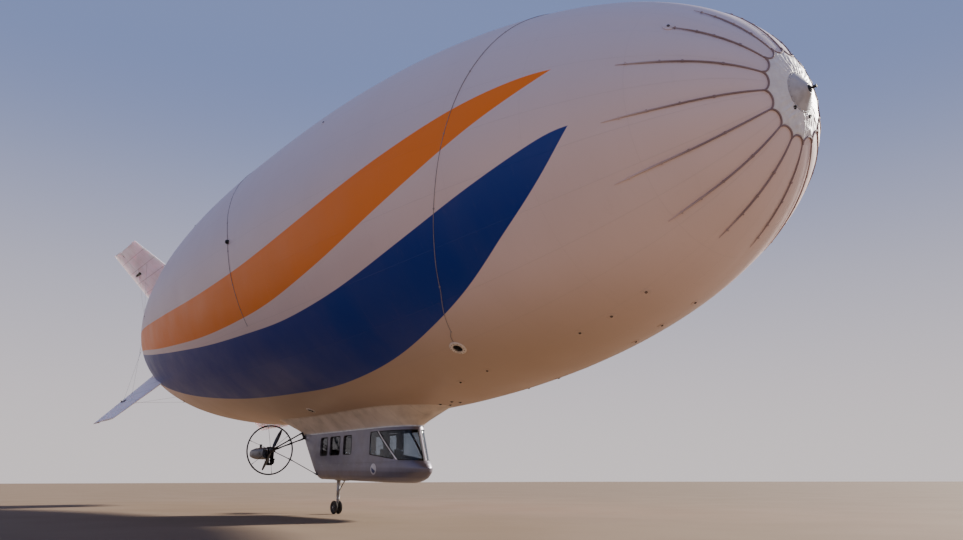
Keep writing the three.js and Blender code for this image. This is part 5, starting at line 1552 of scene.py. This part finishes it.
def ring_guard(label, side):
    """The hoop with four joint sleeves, its spokes to a collar on the gearbox, and a stay to
    the cabin's foot."""
    y = side * POWER_Y
    form = Form()

    def hoop(turn, radius, sides, mark, closed=False):
        path = xyz(RING_X, y + RING_RADIUS * np.cos(turn), SHAFT_Z + RING_RADIUS * np.sin(turn))
        form.add(sweep(path, circle(radius, sides), AHEAD, closed=closed), mark)

    hoop(turns(120), 0.0175, 12, 0, closed=True)
    for middle in turns(4, 0.5):
        hoop(middle + np.linspace(-0.045, 0.045, 5), 0.0205, 12, 1)
    collar = [(0.051, 0.020), (0.064, 0.020), (0.065, 0.022), (0.065, 0.042), (0.064, 0.044), (0.051, 0.044)]
    form.add(lathe(collar, (0.063, y, SHAFT_Z), AHEAD, 36, closed=True))
    for k, turn in enumerate(SPOKE_TURN + turns(SPOKES)):
        along = np.array([0, -side * math.cos(turn), math.sin(turn)])
        near, far = (np.array([x, y, SHAFT_Z]) + radius * along
                     for x, radius in ((0.098, 0.06), (RING_X, RING_RADIUS - 0.012)))
        way = unit(far - near)
        form.add(rod(near, far, 0.0045 if k else 0.009, 8))
        form.add(rod(near - way * 0.004, near + way * 0.04, 0.0085 if k else 0.0115, 8), 1)
        form.add(rod(far - way * 0.05, far, 0.0075 if k else 0.0125, 8), 1)
    foot_y = float(cabin_side(STAY_FOOT_X, STAY_FOOT_Z, 1)[1]) + 0.008
    rim = np.array([RING_X, y - side * RING_RADIUS * math.cos(SPOKE_TURN),
                    SHAFT_Z + RING_RADIUS * math.sin(SPOKE_TURN)])
    foot = np.array([STAY_FOOT_X, side * foot_y, STAY_FOOT_Z])
    way = unit(foot - rim)
    form.add(rod(rim, foot, 0.0095))
    form.add(rod(rim - way * 0.02, rim + way * 0.07, 0.0145), 1)
    form.add(rod(foot - way * 0.09, foot - way * 0.004, 0.0135), 1)
    form.add(block(foot - (0.04, side * 0.014, 0.022), foot + (0.04, side * 0.004, 0.022)), 1)
    for dx, dz in product((-0.03, 0.03), (-0.014, 0.014)):
        bolt = foot + (dx, 0, dz)
        form.add(rod(bolt, bolt + (0, side * 0.008, 0), 0.005, 6), 2)
    form.piece("guard_hoop_" + label, [DARK_STEEL, TRIM, ALLOY], "dark_steel", ["ring_guard_" + label])


def outrigger(label, side):
    """Two struts part from the engine's plate: the upper one ends on a knee beside the
    skirt, the lower one on the cabin's side."""
    def plate(low, high, bevel=0.004, mark=1):
        form.add(block(np.array(low) * (1, side, 1), np.array(high) * (1, side, 1), bevel), mark)

    form = Form()
    plate((-0.020, 1.1627, -4.200), (0.076, 1.1747, -4.095), mark=0)
    for x, z in product((-0.008, 0.064), (-4.190, -4.106)):
        form.add(rod((x, side * 1.156, z), (x, side * 1.1630, z), 0.006, 6), 1)
    wall = float(cabin_side(0.1, -3.862, 1)[1])
    knee = np.array([(0.398, -3.88), (0.430, -3.88), (0.486, -3.754), (0.486, -3.72), (0.456, -3.72),
                     (0.410, -3.812)])
    for low in (0.004, 0.030):
        form.add(loft([xyz(x, side * knee[:, 0], knee[:, 1]) for x in (low, low + 0.006)]), 1)
    plate((0.009, 0.404, -3.88), (0.031, 0.424, -3.82), 0.002)
    plate((-0.010, wall - 0.006, -3.89), (0.082, wall + 0.014, -3.82))
    struts = (((0.030, 1.1667, -4.12), (0.020, 0.472, -3.730)),
              ((0.012, 1.1667, -4.150), (0.044, wall + 0.008, -3.862)))
    for near, far in np.array(struts) * (1, side, 1):
        way = unit(far - near)
        form.add(sweep([near, far], circle(0.019, 16) * (1.0, 0.86), UPWARD))
        for spot, inward in ((near, way), (far, -way)):
            form.add(rod(spot, spot + inward * 0.075, 0.0215, 14), 1)
            pin = spot + inward * 0.05
            form.add(rod(pin - (0, 0, 0.025), pin + (0, 0, 0.025), 0.005, 6), 1)
        spots = near + (far - near) * np.linspace(0.4, 0.7, 601)[:, None]
        from_shaft = np.hypot(spots[:, 1] - side * POWER_Y, spots[:, 2] - SHAFT_Z)
        cross = spots[np.argmin(abs(from_shaft - RING_RADIUS))]
        form.add(rod(cross - way * 0.034, cross + way * 0.034, 0.0245, 14), 1)
        form.add(rod(cross, cross * (0, 1, 1) + (RING_X, 0, 0), 0.021), 1)
    # near and far are still those of the lower strut, which the hose follows
    hose = near + (far - near) * np.linspace(0.01, 0.985, 30)[:, None] + (0.026, 0, 0)
    hose[:, 2] -= 0.010 + 0.006 * np.sin(np.linspace(0, 5 * math.pi, 30))
    form.add(sweep(hose, circle(0.006, 8), AHEAD), 1)
    form.piece("outrigger_struts_" + label, [DARK_STEEL, TRIM], "dark_steel", ["outrigger_" + label])


def propeller(label, side, resin):
    """Blade sections a chord wide, turned by their pitch: across = +-0.42 thickness (1 - (2a)^2)^0.7."""
    middle = np.array([PROP_X, side * POWER_Y, SHAFT_Z])
    radius = np.concatenate([np.linspace(0.03, 0.505, 40),
                             0.505 + 0.015 * np.sin(np.linspace(0.2, 1.5, 6))])[:, None]
    chord, pitch, thick = (column[:, None] for column in eased(radius[:, 0], BLADE, 0.05))
    chord = chord * np.sqrt(np.clip((0.5206 - radius) / 0.016, 0.05, 1))
    thick = thick * np.where(radius < 0.09, 1 + 0.5 * (0.09 - radius) / 0.06, 1)
    share = np.cos(turns(24))
    face = np.where(np.arange(24) < 12, 1.0, -0.7) * (1 - np.minimum(share**2, 1)) ** 0.7 * (1 + 0.35 * share)
    along, swell, turn = 0.5 * share * chord, 0.40 * face * thick, np.radians(pitch)
    x, across = along * np.sin(turn) + swell * np.cos(turn), along * np.cos(turn) - swell * np.sin(turn)
    form = Form()
    lean = math.radians(PROP_REST) * side
    rest = np.array([[1, 0, 0], [0, math.cos(lean), math.sin(lean)], [0, -math.sin(lean), math.cos(lean)]])
    for sign in (1, -1):
        form.add(loft(xyz(x, sign * across, sign * radius) @ rest + middle))
    hub = [(0.0169, -0.057), (0.046, -0.058), (0.052, -0.052), (0.058, -0.038), (0.0585, -0.034),
           (0.058, -0.030), (0.058, 0.022)]
    hub += [(0.058 * math.cos(v), 0.026 + 0.062 * math.sin(v)) for v in np.linspace(0.05, 1.52, 12)]
    form.add(lathe(hub, middle, AHEAD, 44), 1)
    for turn in turns(8, 0.5):
        out = np.array([0, math.sin(turn), math.cos(turn)])
        spot = middle - (0.020, 0, 0) + out * 0.0575
        form.add(rod(spot, spot + out * 0.003, 0.004, 8), 2)
    form.piece("propeller_blades_" + label, [resin, TRIM, ALLOY], "blade_resin", ["propeller_" + label],
               body="propeller_" + label)


COWL_PAINT = cowl_material()
BLADE_RESIN = plain_paint("blade_resin", (12.0, 4.0, 0.4, 0.7, (0.013, 0.012, 0.013), (0.035, 0.033, 0.033)),
                          (60.0, 0.0004), ((0.10, 0.08, 0.06), 0.4, 10.0),
                          roughness=0.35, more={"Coat Weight": 0.2})
for label, side in SIDES:
    engine(label, side)
    engine_cowl(label, side, COWL_PAINT)
    ring_guard(label, side)
    outrigger(label, side)
    propeller(label, side, BLADE_RESIN)


# Landing gear
# One braced leg below the cabin ends in a castering head. Its single arm carries an axle with
# a grooved tyre on each side.
GEAR_X = 1.15
BRACE_RUN = 0.33
AXLE_X, AXLE_Z = 1.085, -5.475
AXLE = np.array([AXLE_X, 0, AXLE_Z])
LEG_FOOT = -5.25
CROWN_Z = LEG_FOOT - 0.0053
TRACK = 0.062
WHEEL_RADIUS = 0.15
TREAD_RADIUS = 0.1492
# columns: radius, half width of the tyre there
TYRE_WALL = ((0.0835, 0.018), (0.092, 0.0215), (0.096, 0.0245), (0.099, 0.0245), (0.110, 0.0285),
             (0.122, 0.0298), (0.134, 0.0280), (0.1395, 0.0250))
TYRE_TREAD = ((0.1440, 0.0205), (0.1455, 0.0150), (0.1430, 0.0142), (0.1432, 0.0118), (0.1478, 0.0110),
              (0.1486, 0.0060), (TREAD_RADIUS, 0.0020), (0.1462, 0.0014))
TREAD_STEPS = 180


def keel_at(x):
    """The keel's height at a station."""
    return float(belly(x, KEEL_Z))


def gear_leg():
    """A turned leg, its brace and two bolted foot plates under the keel, and a hose in two clips."""
    form = Form()
    profile = [(0.0207, 0.0), (0.040, 0.0), (0.0435, 0.004), (0.0435, 0.026), (0.040, 0.030), (0.040, 0.12),
               (0.043, 0.124), (0.043, 0.166), (0.0405, 0.170), (0.044, 0.36), (0.049, 0.372), (0.052, 0.405)]
    form.add(lathe(profile, (GEAR_X, 0, LEG_FOOT), UPWARD, 40))
    start = np.array([GEAR_X + 0.04, 0, LEG_FOOT + 0.15])
    form.add(rod(start, (GEAR_X + BRACE_RUN, 0, keel_at(GEAR_X + BRACE_RUN) + 0.005), 0.0135, 16))
    way = unit([0.29, 0, 0.287])
    form.add(rod(start, start + way * 0.05, 0.018), 1)
    form.add(rod(start + way * 0.31, start + way * 0.40, 0.018), 1)
    form.add(rod(start + way * 0.02 - (0, 0.024, 0), start + way * 0.02 + (0, 0.024, 0), 0.006, 8), 1)
    for x in (GEAR_X, GEAR_X + BRACE_RUN):
        keel = keel_at(x)
        form.add(block((x - 0.075, -0.06, keel - 0.024), (x + 0.075, 0.06, keel + 0.004), 0.006))
        for dx, y in product((-0.055, 0.055), (-0.042, 0.042)):
            form.add(rod((x + dx, y, keel - 0.023), (x + dx, y, keel - 0.031), 0.007, 6), 1)
    hose = [(GEAR_X - 0.046, 0.0, z) for z in np.linspace(LEG_FOOT + 0.05, LEG_FOOT + 0.38, 8)]
    form.add(sweep(hose, circle(0.004, 8), ABEAM), 2)
    for z in (LEG_FOOT + 0.1, LEG_FOOT + 0.24):
        form.add(block((GEAR_X - 0.052, -0.008, z), (GEAR_X - 0.036, 0.008, z + 0.012), 0.002), 1)
    form.piece("gear_strut", GEAR_MATERIALS, "gear_alloy", ["gear_leg"])


def gear_fork():
    """A caster head under the leg, and one arm that is thicker in its middle."""
    form = Form()
    form.add(lathe([(0.02, -0.02), (0.02, 0.13), (0.017, 0.135)], (GEAR_X, 0, CROWN_Z), UPWARD, 24))
    head = [(0.030, -0.060), (0.036, -0.056), (0.038, -0.050), (0.038, -0.008), (0.035, -0.001), (0.021, 0.0)]
    form.add(lathe(head, (GEAR_X, 0, CROWN_Z), UPWARD, 32))
    outline = rounded(((GEAR_X + 0.03, CROWN_Z - 0.02), (GEAR_X - 0.036, CROWN_Z - 0.02),
                       (AXLE_X - 0.03, AXLE_Z + 0.02), (AXLE_X - 0.02, AXLE_Z - 0.03),
                       (AXLE_X + 0.024, AXLE_Z - 0.028), (GEAR_X + 0.026, CROWN_Z - 0.09)), 0.01)
    middle = outline.mean(axis=0)
    form.add(prism(outline, -0.012, 0.012))
    form.add(prism(middle + (outline - middle) * (0.72, 0.80), -0.015, 0.015))
    boss = [(0.013, 0.012), (0.022, 0.012), (0.023, 0.0145), (0.020, 0.0165), (0.013, 0.0165)]
    for side in (1, -1):
        form.add(lathe(boss, AXLE, (0, side, 0), 24, closed=True), 1)
        form.add(rod((GEAR_X, side * 0.034, CROWN_Z - 0.03),
                     (GEAR_X, side * 0.043, CROWN_Z - 0.03), 0.008, 6), 1)
    form.piece("fork_arm", GEAR_MATERIALS, "gear_alloy", ["gear_fork"], body="gear_fork")


def wheel_rims():
    """Two dished rims with bolts on both faces, spacers and hub caps on one axle."""
    form = Form()
    half = np.array([(0.011, 0.024), (0.026, 0.0245), (0.031, 0.022), (0.034, 0.013), (0.062, 0.010),
                     (0.070, 0.016), (0.074, 0.0215), (0.0826, 0.0222), (0.0832, 0.0205), (0.0815, 0.017)])
    for side in (1, -1):
        form.add(lathe([*half, *half[::-1] * (1, -1)], AXLE + (0, side * TRACK, 0), ABEAM, 48, closed=True))
        for out, turn in product((1, -1), turns(6)):
            spot = AXLE + (0.047 * math.sin(turn), side * TRACK + out * 0.0108, 0.047 * math.cos(turn))
            form.add(rod(spot, spot + (0, out * 0.0055, 0), 0.0055, 6), 1)
        form.add(lathe([(0.024, 0.023), (0.024, 0.036), (0.0245, 0.038)], AXLE, (0, side, 0), 24), 1)
        form.add(lathe([(0.019, 0.085), (0.020, 0.0865), (0.019, 0.094), (0.012, 0.0965)], AXLE,
                       (0, side, 0), 6), 1)
    form.add(rod(AXLE - (0, 0.096, 0), AXLE + (0, 0.096, 0), 0.011, 20), 1)
    form.piece("rims", [TRIM, ALLOY], "gear_alloy", ["wheel_rims"], body="wheels")


def tyre(label, side, rubber):
    """A carcass section carried round the axle, with three grooves in its crown and notches
    in its shoulders."""
    half = np.array(TYRE_WALL + TYRE_TREAD)
    depth, across = np.concatenate([half, half[::-1] * (1, -1)]).T
    step, turn = np.arange(TREAD_STEPS)[:, None], turns(TREAD_STEPS)[:, None]
    crown = depth > 0.139
    notched = ((step + 3 * (across > 0)) % 6 < 2) & crown & (np.abs(across) > 0.0145)
    radius = (depth - 0.0022 * notched) * np.where(crown, WHEEL_RADIUS / TREAD_RADIUS, 1)
    points = xyz(AXLE_X + radius * np.sin(turn), side * TRACK + across, AXLE_Z + radius * np.cos(turn))
    Form().add(loft(points, closed=True)).piece("tyre_tread_" + label, [rubber], "tyre", ["tyre_" + label],
                                                body="wheels", crease=30)


GEAR_PAINT = plain_paint("gear_paint", (10.0, 4.0, 0.35, 0.7, (0.28, 0.275, 0.28), (0.38, 0.375, 0.38)),
                         (40.0, 0.0008), ((0.09, 0.07, 0.05), 0.7, 8.0), roughness=0.38, metallic=0.5)
GEAR_MATERIALS = [GEAR_PAINT, ALLOY, RUBBER]
TYRE_RUBBER = plain_paint("tyre_rubber", (20.0, 4.0, 0.35, 0.7, (0.016, 0.015, 0.015), (0.035, 0.032, 0.03)),
                          (90.0, 0.0008), ((0.15, 0.115, 0.08), 0.6, 12.0), roughness=0.8, specular=0.25)
gear_leg()
gear_fork()
wheel_rims()
for label, side in SIDES:
    tyre(label, side, TYRE_RUBBER)
